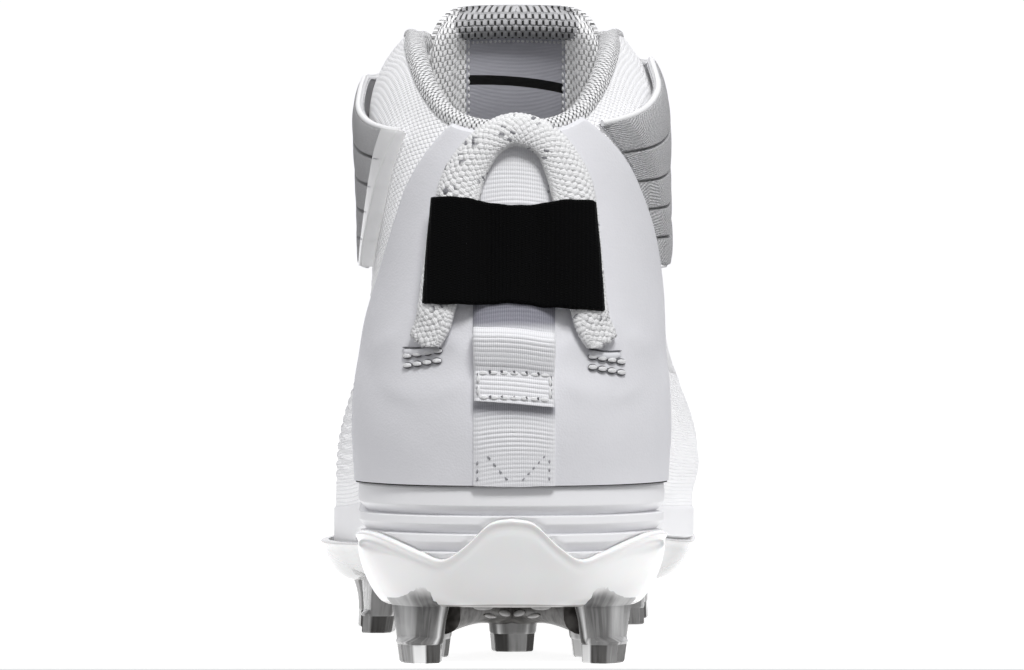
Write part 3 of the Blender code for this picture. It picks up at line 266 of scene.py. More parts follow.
def place(y, z, side, out=0.0):
    """Points of the upper's surface from its side view, moved out along the surface's normal."""
    y, z = np.broadcast_arrays(np.asarray(y, float), np.asarray(z, float))
    side = np.broadcast_to(np.asarray(side, float), y.shape)
    def wide(yy, zz):
        return np.where(side < 0, half_width(yy, zz, -1), half_width(yy, zz, 1))
    w, e = wide(y, z), 0.25
    x = station("ridge_x", y) + side * w
    gy = (wide(y + e, z) ** 2 - wide(y - e, z) ** 2) / (2 * e)
    gz = (wide(y, z + e) ** 2 - wide(y, z - e) ** 2) / (2 * e)
    bend = (station("ridge_x", y + e) - station("ridge_x", y - e)) / (2 * e)
    n = np.stack([side * w, -0.5 * gy - side * w * bend, -0.5 * gz], axis=-1)
    n = n / np.maximum(np.linalg.norm(n, axis=-1, keepdims=True), 1e-9)
    return np.stack([x, y, z], axis=-1) + np.asarray(out)[..., None] * n, n


# ---- the upper's side view as a grid: p runs from the heel to the toe, t from the sole to the collar -------------
def front_line(t):
    """Side view of the toe and instep, t from the toe's foot to the front of the collar."""
    turn = np.linspace(math.pi / 2, 0, 24)[:-1]
    ye = TOE_CENTRE + TOE_REACH * np.sin(turn) ** (2 / ARCH_POWER)
    zc = sole("feather", ye) + 1.0
    ze = zc + (ridge_z(ye) - zc) * np.cos(turn) ** (2 / ARCH_POWER)
    foot = [[HEEL_TO_TOE, float(sole("feather", HEEL_TO_TOE))]]
    top = RIDGE_LINE[:, :2]
    line = np.vstack([foot, np.stack([ye, ze], -1), top])
    top_z = COLLARS[-1][1]
    end = int(np.argmax(line[:, 1] >= top_z))
    share = (top_z - line[end - 1, 1]) / (line[end, 1] - line[end - 1, 1])
    line = np.vstack([line[:end], line[end - 1] + share * (line[end] - line[end - 1])])
    arc = np.r_[0, np.cumsum(np.linalg.norm(np.diff(line, axis=0), axis=1))]
    t = np.asarray(t, float) * arc[-1]
    return np.stack([np.interp(t, arc, line[:, 0]), np.interp(t, arc, line[:, 1])], -1)


def back_line(t):
    """Side view of the heel's back, from the sole to the collar."""
    foot, top = float(sole("feather", column(BACKS, BACK, "z", "y", 44.0))), COLLARS[1][1]
    for _ in range(8):                    # the collar's height where the heel's back meets it
        top = float(column(COLLARS, COLLAR, "y", "z", column(BACKS, BACK, "z", "y", top)))
    z = foot + np.asarray(t, float) * (top - foot)
    return np.stack([column(BACKS, BACK, "z", "y", z), z], -1)


def side_view(p, t):
    """(y, z) on the side view, blended between its four edges."""
    p, t = np.broadcast_arrays(np.asarray(p, float), np.asarray(t, float))
    low0, low1 = back_line(0.0), front_line(0.0)
    top0, top1 = back_line(1.0), front_line(1.0)
    yb = low0[0] + p * (low1[0] - low0[0])
    bottom = np.stack([yb, sole("feather", yb)], -1)
    yt = top0[0] + p * (top1[0] - top0[0])
    top = np.stack([yt, column(COLLARS, COLLAR, "y", "z", yt)], -1)
    P, T = p[..., None], t[..., None]
    mixed = (1 - P) * ((1 - T) * low0 + T * top0) + P * ((1 - T) * low1 + T * top1)
    return (1 - T) * bottom + T * top + (1 - P) * back_line(t) + P * front_line(t) - mixed


def fine(q):
    """Spacing that rounds both ends evenly."""
    return (1 - np.cos(np.pi * np.clip(np.abs(q), 0, 1))) / 2


def upper_point(q, t, out=0.0):
    """q runs from -1, the ridge by the outer side, over 0, the heel's back, to 1, the ridge by the inner side."""
    q, t = np.broadcast_arrays(np.asarray(q, float), np.asarray(t, float))
    yz = side_view(fine(np.clip(np.abs(q), 2e-3, 1 - 2e-3)), t)
    side = np.where(q < 0, -1.0, 1.0)
    pts, _ = place(yz[..., 0], yz[..., 1], side, out)
    mid = (np.abs(q) > 1 - 2e-3) | (np.abs(q) < 2e-3)
    if mid.any():
        other, _ = place(yz[..., 0], yz[..., 1], -side, out)
        both = (pts + other) / 2
        both[..., 0] = station("ridge_x", both[..., 1])
        pts = np.where(mid[..., None], both, pts)
    return pts


def throat_q(t, half):
    """Where on a level the surface is that far from the ridge line."""
    q = np.linspace(0.55, 1 - 2e-3, 160)
    yz = side_view(fine(q), np.full_like(q, t))
    found = []
    for side in (-1, 1):
        w = half_width(yz[:, 0], yz[:, 1], side)
        found.append(float(np.interp(-half, -w, q)) if w.min() < half else 1.0)
    return found


def to_world(points):
    return (np.asarray(points, float) - (MID_X, MID_Y, 0.0)) * MM


def sole_loop(q, offset, z):
    """Loop round the sole: the upper's foot edge in plan, moved out level by offset, at height z."""
    base = upper_point(q, np.zeros_like(q))
    q2 = np.clip(np.abs(q), 0.004, 0.996)
    yz = side_view(fine(q2), np.zeros_like(q))
    _, n = place(yz[:, 0], yz[:, 1], np.where(q < 0, -1.0, 1.0))
    flat = n[:, :2] / np.linalg.norm(n[:, :2], axis=1, keepdims=True)
    ends = np.abs(q) < 0.004
    flat[ends] = (0, -1)
    ends = np.abs(q) > 0.996
    flat[ends] = (0, 1)
    out = base.copy()
    out[:, :2] += flat * np.asarray(offset)[..., None]
    out[:, 2] = z
    return out


def sole_at(q, name):
    """A column of the sole's table along the loop; names ending in _ are read for the loop's own side."""
    base = upper_point(q, np.zeros_like(q))
    y = base[:, 1]
    if not name.endswith("_"):
        return sole(name, y)
    mix = ease(-10, 10, base[:, 0] - station("ridge_x", y))
    return sole(name + "lat", y) * (1 - mix) + sole(name + "med", y) * mix


def rim_height(q):
    base = upper_point(q, np.zeros_like(q))
    crown = column(CROWNS, CROWN, "x", "lift", np.abs(base[:, 0]))
    return sole_at(q, "rim_") + crown * (1 - ease(26, 44, base[:, 1]))


def plate_offset(q, share):
    """How far the plate's outside stands out from the upper's edge, share of the way from its bottom to its rim."""
    bulge, tuck = sole_at(q, "bulge_"), sole_at(q, "tuck_")
    return -tuck + (bulge + tuck) * rounding(share, 1.7)


def around(count):
    """q values round a closed loop, starting at the toe, with no repeat."""
    return -1 + 2 * np.arange(count) / count


def front_point(t):
    """Ridge line past the collar: (y, z), its direction and its inward normal in side view."""
    line = RIDGE_LINE[:, :2]
    arc = np.r_[0, np.cumsum(np.linalg.norm(np.diff(line, axis=0), axis=1))]
    start, end = front_line(0.25), front_line(1.0)
    s0 = np.interp(-start[0], -line[:, 0], arc)
    s1 = np.interp(end[1], line[:, 1], arc)
    s = s0 + (t - 0.25) / 0.75 * (s1 - s0)
    y, z = np.interp(s, arc, line[:, 0]), np.interp(s, arc, line[:, 1])
    dy = np.interp(s + 2, arc, line[:, 0]) - np.interp(s - 2, arc, line[:, 0])
    dz = np.interp(s + 2, arc, line[:, 1]) - np.interp(s - 2, arc, line[:, 1])
    length = math.hypot(dy, dz)
    return np.array([y, z]), np.array([dy, dz]) / length, np.array([dz, -dy]) / length * (-1)


def strap_grid(rows, cols, out):
    """Points of the strap: rows from its bottom edge to its top, columns from the outer rear end to the inner one."""
    grid = []
    for w in np.linspace(0, 1, rows):
        line = []
        for run in np.linspace(-1, 1, cols):
            low, top, off = (float(column(STRAPS, STRAP_ROW, "run", c, run)) for c in ("bottom_z", "top_z", "stand_off"))
            z = low + (top - low) * w
            ends, names = (STRAP_END_LATS, STRAP_END_LAT) if run < 0 else (STRAP_END_MEDS, STRAP_END_MED)
            end_y = float(column(ends, names, "z", "y", z))
            top_y = float(np.interp(z, RIDGE_LINE[:, 1], RIDGE_LINE[:, 0]))
            share = max(abs(run), 0.012)
            y = top_y - (top_y - end_y) * share**2
            point, _ = place(y, z, -1.0 if run < 0 else 1.0, off + out)
            if abs(run) < 0.012:
                point[0] = station("ridge_x", y)
            line.append(point)
        grid.append(line)
    return np.array(grid)


# ---- making meshes ---------------------------------------------------------------------------------------------
def faces_of(rows, cols, start=0, wrap=False, flip=False):
    """Quads of a grid of points; wrap joins the last column to the first."""
    i, j = np.mgrid[0:rows - 1, 0:cols - 1 + int(wrap)]
    k = (j + 1) % cols
    quads = np.stack([i * cols + j, i * cols + k, (i + 1) * cols + k, (i + 1) * cols + j], -1).reshape(-1, 4) + start
    return (quads[:, ::-1] if flip else quads).tolist()


class Heap:
    """Points, faces, coordinates in millimetres, a material and a tone, gathered for one mesh."""

    def __init__(self):
        self.points, self.faces, self.uv, self.index, self.tone, self.count = [], [], [], [], [], 0

    def add(self, points, faces, uv=None, index=0, tone=0.0):
        points = np.asarray(points, float).reshape(-1, 3)
        n = len(points)
        self.points.append(points)
        self.uv.append(np.zeros((n, 2)) if uv is None else np.asarray(uv, float).reshape(-1, 2))
        self.tone.append(np.broadcast_to(np.asarray(tone, float), (n,)))
        self.faces += [[v + self.count for v in f] for f in faces]
        self.index += [index] * len(faces) if np.isscalar(index) else list(index)
        self.count += n

    def make(self, name, mats, sharp=42.0, tidy=True, weld=False):
        mesh = bpy.data.meshes.new(name)
        mesh.from_pydata(to_world(np.vstack(self.points)).tolist(), [], self.faces)
        uv = np.vstack(self.uv)
        loops = np.empty(len(mesh.loops), np.int64)
        mesh.loops.foreach_get("vertex_index", loops)
        layer = mesh.uv_layers.new(name="mm")
        layer.data.foreach_set("uv", uv[loops].ravel())
        tone = mesh.attributes.new("tone", "FLOAT", "POINT")
        tone.data.foreach_set("value", np.concatenate(self.tone))
        mesh.polygons.foreach_set("material_index", np.array(self.index, np.int32))
        for m in mats:
            mesh.materials.append(m)
        if tidy:
            bm = bmesh.new()
            bm.from_mesh(mesh)
            if weld:
                bmesh.ops.remove_doubles(bm, verts=bm.verts, dist=2e-6)
            bmesh.ops.recalc_face_normals(bm, faces=bm.faces)
            bm.to_mesh(mesh)
            bm.free()
        mesh.shade_smooth()
        if sharp:
            mesh.set_sharp_from_angle(angle=math.radians(sharp))
        mesh.update()
        obj = bpy.data.objects.new(name, mesh)
        bpy.context.scene.collection.objects.link(obj)
        return obj


def declare(obj, nodes):
    """Rides on the shoe's one body and stands for its CAD nodes, which it hides."""
    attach(obj, "root")
    if nodes:
        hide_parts(*nodes)
    return obj


def run_of(grid, axis):
    """Length run along a grid of points from its first row or column, in millimetres."""
    step = np.linalg.norm(np.diff(grid, axis=axis), axis=-1)
    zero = np.zeros_like(np.take(grid[..., 0], [0], axis=axis))
    return np.concatenate([zero, np.cumsum(step, axis=axis)], axis=axis)


def grid_uv(grid, centre=True):
    """Millimetre coordinates of a grid: across each row, up each column, the row's length measured at mid height."""
    u, v = run_of(grid, 1), run_of(grid, 0)
    if centre:
        u = u - u[:, [u.shape[1] // 2]]
    return np.stack([u, np.broadcast_to(v, u.shape)], -1)


def two_sided(heap, outer, inner, uv=None, wrapped=False, index=0, tone=0.0, rim_index=None):
    """A closed shell between two grids of the same shape."""
    rows, cols = outer.shape[:2]
    n = rows * cols
    uv = grid_uv(outer) if uv is None else uv
    points = np.vstack([outer.reshape(-1, 3), inner.reshape(-1, 3)])
    faces = faces_of(rows, cols, 0, wrapped) + faces_of(rows, cols, n, wrapped, True)
    body = len(faces)
    for j in range(cols - 1 + int(wrapped)):
        k = (j + 1) % cols
        last = (rows - 1) * cols
        faces += [[k, j, n + j, n + k], [last + j, last + k, n + last + k, n + last + j]]
    if not wrapped:
        for i in range(rows - 1):
            a, b = i * cols, (i + 1) * cols
            faces += [[a, b, n + b, n + a], [b + cols - 1, a + cols - 1, n + a + cols - 1, n + b + cols - 1]]
    which = [index] * body + [index if rim_index is None else rim_index] * (len(faces) - body)
    heap.add(points, faces, np.vstack([uv.reshape(-1, 2), uv.reshape(-1, 2)]), which, np.tile(np.broadcast_to(tone, (rows, cols)).ravel(), 2))


def tube(heap, centre, across, outward, half_wide, half_thick, sides=8, power=1.0, index=0, tone=0.0, closed=False, v0=0.0):
    """A tube of oval section along a line, with its ends closed unless the line is."""
    centre = np.asarray(centre, float)
    n = len(centre)
    s = np.linspace(0, 2 * math.pi, sides, endpoint=False)
    c, d = np.cos(s), np.sin(s)
    c, d = np.sign(c) * np.abs(c) ** power, np.sign(d) * np.abs(d) ** power
    hw = np.broadcast_to(np.asarray(half_wide, float), (n,))[:, None, None]
    ht = np.broadcast_to(np.asarray(half_thick, float), (n,))[:, None, None]
    rings = centre[:, None] + across[:, None] * c[None, :, None] * hw + outward[:, None] * d[None, :, None] * ht
    run = np.r_[0, np.cumsum(np.linalg.norm(np.diff(centre, axis=0), axis=1))] + v0
    uv = np.stack(np.broadcast_arrays((s / (2 * math.pi) * 2 * (hw[:, 0] + ht[:, 0])), run[:, None]), -1)
    faces = []
    for i in range(n - 1 + int(closed)):
        a, b = i * sides, ((i + 1) % n) * sides
        for j in range(sides):
            k = (j + 1) % sides
            faces.append([a + j, a + k, b + k, b + j])
    if not closed:
        faces += [list(range(sides))[::-1], [(n - 1) * sides + j for j in range(sides)]]
    heap.add(rings, faces, uv, index, tone)


def frame_along(centre, outward):
    """Unit directions along a line, across it and outward from it."""
    along = np.gradient(centre, axis=0)
    along /= np.maximum(np.linalg.norm(along, axis=1, keepdims=True), 1e-9)
    outward = outward - (outward * along).sum(1, keepdims=True) * along
    outward /= np.maximum(np.linalg.norm(outward, axis=1, keepdims=True), 1e-9)
    return along, np.cross(along, outward), outward


def stitches(heap, line, outward, pitch, fill=0.68, wide=0.34, thick=0.26, index=0, tone=0.0, lift=0.05, phase=0.5):
    """A row of sewn stitches along a line on a surface: plump threads that dive in at both ends."""
    run = np.r_[0, np.cumsum(np.linalg.norm(np.diff(line, axis=0), axis=1))]
    count = max(1, int(round(run[-1] / pitch)))
    pitch = run[-1] / count
    for i in range(count):
        mid = (i + phase) * pitch
        at = np.clip(np.linspace(mid - pitch * fill / 2, mid + pitch * fill / 2, 7), 0, run[-1])
        c = np.stack([np.interp(at, run, line[:, a]) for a in range(3)], -1)
        o = np.stack([np.interp(at, run, outward[:, a]) for a in range(3)], -1)
        _, across, o = frame_along(c, o)
        bow = np.sqrt(np.clip(1 - np.linspace(-0.98, 0.98, 7) ** 2, 0, 1))
        c = c + o * (lift + (bow - 1) * thick * 1.6)[:, None]
        tube(heap, c, across, o, wide / 2 * np.maximum(bow, 0.35) * 1.6, thick, 6, 1.0, index, tone)


def smooth_loop(ring, per):
    """Points of closed loops (..., n, 3), per times as many, on a smooth curve through them."""
    a, b, c, d = (np.roll(ring, k, axis=-2) for k in (1, 0, -1, -2))
    out = []
    for t in np.arange(per) / per:
        out.append(0.5 * (2 * b + (c - a) * t + (2 * a - 5 * b + 4 * c - d) * t**2 + (3 * b - a - 3 * c + d) * t**3))
    made = np.stack(out, axis=-2)
    return made.reshape(*ring.shape[:-2], ring.shape[-2] * per, 3)


def read_table(table, u, v):
    """A table of rows u and columns v read at fractional places, smoothly in both directions."""
    shape = np.shape(u)
    u, v = np.ravel(u), np.ravel(v)
    rows, cols = table.shape[:2]
    i, j = np.clip(np.floor(u).astype(int), 0, rows - 2), np.clip(np.floor(v).astype(int), 0, cols - 2)
    wide = np.concatenate([(2 * table[:1] - table[1:2]), table, (2 * table[-1:] - table[-2:-1])], 0)
    wide = np.concatenate([(2 * wide[:, :1] - wide[:, 1:2]), wide, (2 * wide[:, -1:] - wide[:, -2:-1])], 1)

    def weights(t):
        t = t[:, None]
        return np.concatenate([-t + 2 * t**2 - t**3, 2 - 5 * t**2 + 3 * t**3, t + 4 * t**2 - 3 * t**3, -(t**2) + t**3], 1) / 2

    wu, wv = weights(u - i), weights(v - j)
    out = np.zeros((len(u), table.shape[2]))
    for m in range(4):
        for n in range(4):
            out += (wu[:, m] * wv[:, n])[:, None] * wide[i + m, j + n]
    return out.reshape(shape + (table.shape[2],))


def last_points(q, t):
    """Points of the upper's outer surface and its normals, worked out; q and t as for upper_point."""
    yz = side_view(fine(np.clip(np.abs(q), 2e-3, 1 - 2e-3)), t)
    side = np.where(q < 0, -1.0, 1.0)
    pts, n = place(yz[..., 0], yz[..., 1], side, 0.0)
    mid = (np.abs(q) > 1 - 2e-3) | (np.abs(q) < 2e-3)
    pts[..., 0] = np.where(mid, station("ridge_x", pts[..., 1]), pts[..., 0])
    n[..., 0] = np.where(mid, 0.0, n[..., 0])
    return pts, n / np.linalg.norm(n, axis=-1, keepdims=True)


Q_STEPS, T_STEPS = 240, 72
LAST = np.concatenate(last_points(*np.meshgrid(np.linspace(-1, 1, Q_STEPS + 1), np.linspace(0, 1, T_STEPS + 1), indexing="ij")), -1)


def surface(q, t):
    """Points of the upper's outer surface and its normals, read from the table of the last."""
    q, t = np.broadcast_arrays(np.asarray(q, float), np.asarray(t, float))
    got = read_table(LAST, (q + 1) / 2 * Q_STEPS, t * T_STEPS)
    n = got[..., 3:]
    return got[..., :3], n / np.linalg.norm(n, axis=-1, keepdims=True)


def back_points(x, z):
    """Points of the heel's surface seen from behind at x and z, and the normals, found by halving."""
    side = np.where(x < 0, -1.0, 1.0)
    ax = np.maximum(np.abs(x), 0.4)
    lo = column(BACKS, BACK, "z", "y", z) + 1e-4
    hi = lo + column(BACKS, BACK, "z", "round", z)
    for _ in range(26):
        mid = (lo + hi) / 2
        wide = np.where(side < 0, half_width(mid, z, -1), half_width(mid, z, 1)) >= ax
        lo, hi = np.where(wide, lo, mid), np.where(wide, mid, hi)
    pts, n = place(hi, z, side, 0.0)
    near = np.abs(x) / 0.4
    n[..., 0] = np.where(near < 1, n[..., 0] * near, n[..., 0])
    pts[..., 0] = np.where(near < 1, x, pts[..., 0])
    return pts, n / np.linalg.norm(n, axis=-1, keepdims=True)


BACK_X, BACK_Z, BACK_COUNT = (-31.5, 31.5), (42.0, 140.0), (84, 49)
HEEL = np.concatenate(back_points(*np.meshgrid(np.linspace(*BACK_X, BACK_COUNT[0] + 1), np.linspace(*BACK_Z, BACK_COUNT[1] + 1), indexing="ij")), -1)
for _ in range(14):                      # its normals evened out, so that what stands off it has calm edges
    for _axis in (0, 1):
        _pad = np.pad(HEEL[..., 3:], [(1, 1) if a == _axis else (0, 0) for a in range(3)], mode="edge")
        _low, _high = (_pad[:-2], _pad[2:]) if _axis == 0 else (_pad[:, :-2], _pad[:, 2:])
        HEEL[..., 3:] = 0.5 * HEEL[..., 3:] + 0.25 * (_low + _high)


def on_back(x, z, out=0.0):
    """Points of the heel's surface seen from behind at x and z, moved out along their normals, and the normals."""
    x, z = np.broadcast_arrays(np.asarray(x, float), np.asarray(z, float))
    got = read_table(HEEL, (x - BACK_X[0]) / (BACK_X[1] - BACK_X[0]) * BACK_COUNT[0], (z - BACK_Z[0]) / (BACK_Z[1] - BACK_Z[0]) * BACK_COUNT[1])
    n = got[..., 3:] / np.linalg.norm(got[..., 3:], axis=-1, keepdims=True)
    return got[..., :3] + np.asarray(out)[..., None] * n, n


def seen_back(x, z, out):
    """As on_back, but the moved-out points are the ones seen at x and z."""
    bx, bz = np.array(x, float), np.array(z, float)
    for _ in range(8):
        pts, n = on_back(bx, bz, out)
        bx, bz = bx + 0.8 * (x - pts[..., 0]), bz + 0.8 * (z - pts[..., 2])
    return on_back(bx, bz, out)


def ripple(x, seed=0):
    """A smooth wandering number in -1..1 along x, the same in every run."""
    x = np.asarray(x, float)
    a = np.sin(x * 1.0 + seed * 1.7) + 0.6 * np.sin(x * 2.3 + seed * 4.1) + 0.4 * np.sin(x * 4.9 + seed * 2.3)
    return a / 2.0


# ---- finishes --------------------------------------------------------------------------------------------------
def grey(level, warm=0.0):
    """Linear colour of a screen grey from 0 to 255, warmer or cooler by a few levels."""
    return tuple((max(0.0, level + k) / 255.0) ** 2.2 for k in ((warm, 0.0, -warm) if warm > 0 else (0.0, 0.0, -warm)))


class Finish:
    """A Principled material whose pattern is worked out from coordinates in millimetres."""

    def __init__(self, name, colour, roughness, **sockets):
        self.m = bpy.data.materials.new(name)
        self.m.use_nodes = True
        self.t = self.m.node_tree
        self.s = self.t.nodes["Principled BSDF"]
        self.s.inputs["Base Color"].default_value = (*colour, 1.0)
        self.s.inputs["Roughness"].default_value = roughness
        for key, value in sockets.items():
            self.s.inputs[key.replace("_", " ")].default_value = value

    def put(self, value, socket):
        if isinstance(value, bpy.types.NodeSocket):
            self.t.links.new(value, socket)
        else:
            socket.default_value = value

    def math(self, kind, a, b=0.0, c=0.0):
        n = self.t.nodes.new("ShaderNodeMath")
        n.operation = kind
        for value, socket in zip((a, b, c), n.inputs):
            self.put(value, socket)
        return n.outputs[0]

    def mul(self, a, b):
        return self.math("MULTIPLY", a, b)

    def plus(self, a, b):
        return self.math("ADD", a, b)

    def step(self, x, low, high, out0=0.0, out1=1.0):
        n = self.t.nodes.new("ShaderNodeMapRange")
        n.interpolation_type = "SMOOTHSTEP"
        self.put(x, n.inputs["Value"])
        for key, value in (("From Min", low), ("From Max", high), ("To Min", out0), ("To Max", out1)):
            n.inputs[key].default_value = value
        return n.outputs["Result"]

    def wave(self, x, pitch, shift=0.0):
        """0..1..0 over each pitch, as a sine."""
        s = self.math("SINE", self.plus(self.mul(x, 2 * math.pi / pitch), shift))
        return self.plus(self.mul(s, 0.5), 0.5)

    def apart(self, x, pitch, shift=0.0):
        """Distance from the middle of each cell, 0 in the middle and 0.5 at its edge."""
        f = self.math("FRACT", self.plus(self.mul(x, 1.0 / pitch), shift))
        return self.math("ABSOLUTE", self.plus(f, -0.5))

    def mm(self):
        n = self.t.nodes.new("ShaderNodeUVMap")
        n.uv_map = "mm"
        s = self.t.nodes.new("ShaderNodeSeparateXYZ")
        self.t.links.new(n.outputs["UV"], s.inputs[0])
        return s.outputs["X"], s.outputs["Y"], n.outputs["UV"]

    def here(self):
        n = self.t.nodes.new("ShaderNodeTexCoord")
        v = self.t.nodes.new("ShaderNodeVectorMath")
        v.operation = "SCALE"
        v.inputs["Scale"].default_value = 1000.0
        self.t.links.new(n.outputs["Object"], v.inputs[0])
        s = self.t.nodes.new("ShaderNodeSeparateXYZ")
        self.t.links.new(v.outputs[0], s.inputs[0])
        return s.outputs["X"], s.outputs["Y"], s.outputs["Z"], v.outputs[0]

    def vector(self, x, y, z=0.0):
        n = self.t.nodes.new("ShaderNodeCombineXYZ")
        for value, socket in zip((x, y, z), n.inputs):
            self.put(value, socket)
        return n.outputs[0]

    def noise(self, at, size, detail=2.0, rough=0.5):
        """Noise whose blotches are about size millimetres across."""
        n = self.t.nodes.new("ShaderNodeTexNoise")
        self.put(at, n.inputs["Vector"])
        n.inputs["Scale"].default_value = 1.0 / size
        n.inputs["Detail"].default_value = detail
        n.inputs["Roughness"].default_value = rough
        return n.outputs["Fac"]

    def cells(self, at, size):
        n = self.t.nodes.new("ShaderNodeTexVoronoi")
        self.put(at, n.inputs["Vector"])
        n.inputs["Scale"].default_value = 1.0 / size
        return n.outputs["Distance"]

    def tone(self):
        n = self.t.nodes.new("ShaderNodeAttribute")
        n.attribute_name = "tone"
        return n.outputs["Fac"]

    def mix(self, share, a, b):
        n = self.t.nodes.new("ShaderNodeMix")
        n.data_type = "RGBA"
        self.put(share, n.inputs["Factor"])
        for value, socket in ((a, n.inputs[6]), (b, n.inputs[7])):
            self.put(value if isinstance(value, bpy.types.NodeSocket) else (*value, 1.0), socket)
        return n.outputs[2]

    def colour(self, value):
        self.put(value, self.s.inputs["Base Color"])
        return self

    def rough(self, value):
        self.put(value, self.s.inputs["Roughness"])
        return self

    def bump(self, height, depth, below=None):
        """Height 0..1 as a bump of depth millimetres, over an earlier one."""
        n = self.t.nodes.new("ShaderNodeBump")
        n.inputs["Distance"].default_value = depth * MM
        n.inputs["Strength"].default_value = 1.0
        self.put(height, n.inputs["Height"])
        if below is not None:
            self.t.links.new(below, n.inputs["Normal"])
        self.t.links.new(n.outputs["Normal"], self.s.inputs["Normal"])
        return n.outputs["Normal"]


def knit(name, light, dark, across, up, chevron, depth, share_dark, sheen=0.3):
    """Spacer knit: rows of plump loops with dark pinholes between them; chevron leans them into Vs."""
    f = Finish(name, light, 0.92, Sheen_Weight=sheen, Sheen_Roughness=0.5, Specular_IOR_Level=0.25)
    u, v, at = f.mm()
    lean = f.mul(f.apart(u, across * 2), chevron)
    v = f.plus(v, lean)
    row = f.math("FLOOR", f.mul(v, 1.0 / up))
    odd = f.mul(f.math("MODULO", row, 2.0), 0.5)
    x = f.plus(f.mul(u, 1.0 / across), odd)
    dx = f.math("ABSOLUTE", f.plus(f.math("FRACT", x), -0.5))
    dy = f.apart(v, up)
    gap = f.step(dx, 0.27, 0.43)
    seam = f.step(dy, 0.30, 0.5)
    hole = f.mul(gap, f.step(dy, 0.46, 0.28))
    loop = f.math("SUBTRACT", 1.0, f.math("MAXIMUM", gap, f.mul(seam, 0.75)))
    patch = f.noise(at, 2.6, 2.0, 0.6)
    grain = f.noise(at, 0.32, 2.0, 0.6)
    darkness = f.mul(hole, f.step(patch, 0.5 - share_dark * 0.3, 0.62 - share_dark * 0.2, 0.25, 1.0))
    shade = f.plus(f.mul(darkness, 0.95), f.plus(f.mul(seam, 0.10), f.mul(grain, 0.05)))
    f.colour(f.mix(shade, light, dark))
    f.bump(f.plus(loop, f.mul(grain, 0.25)), depth)
    return f.m


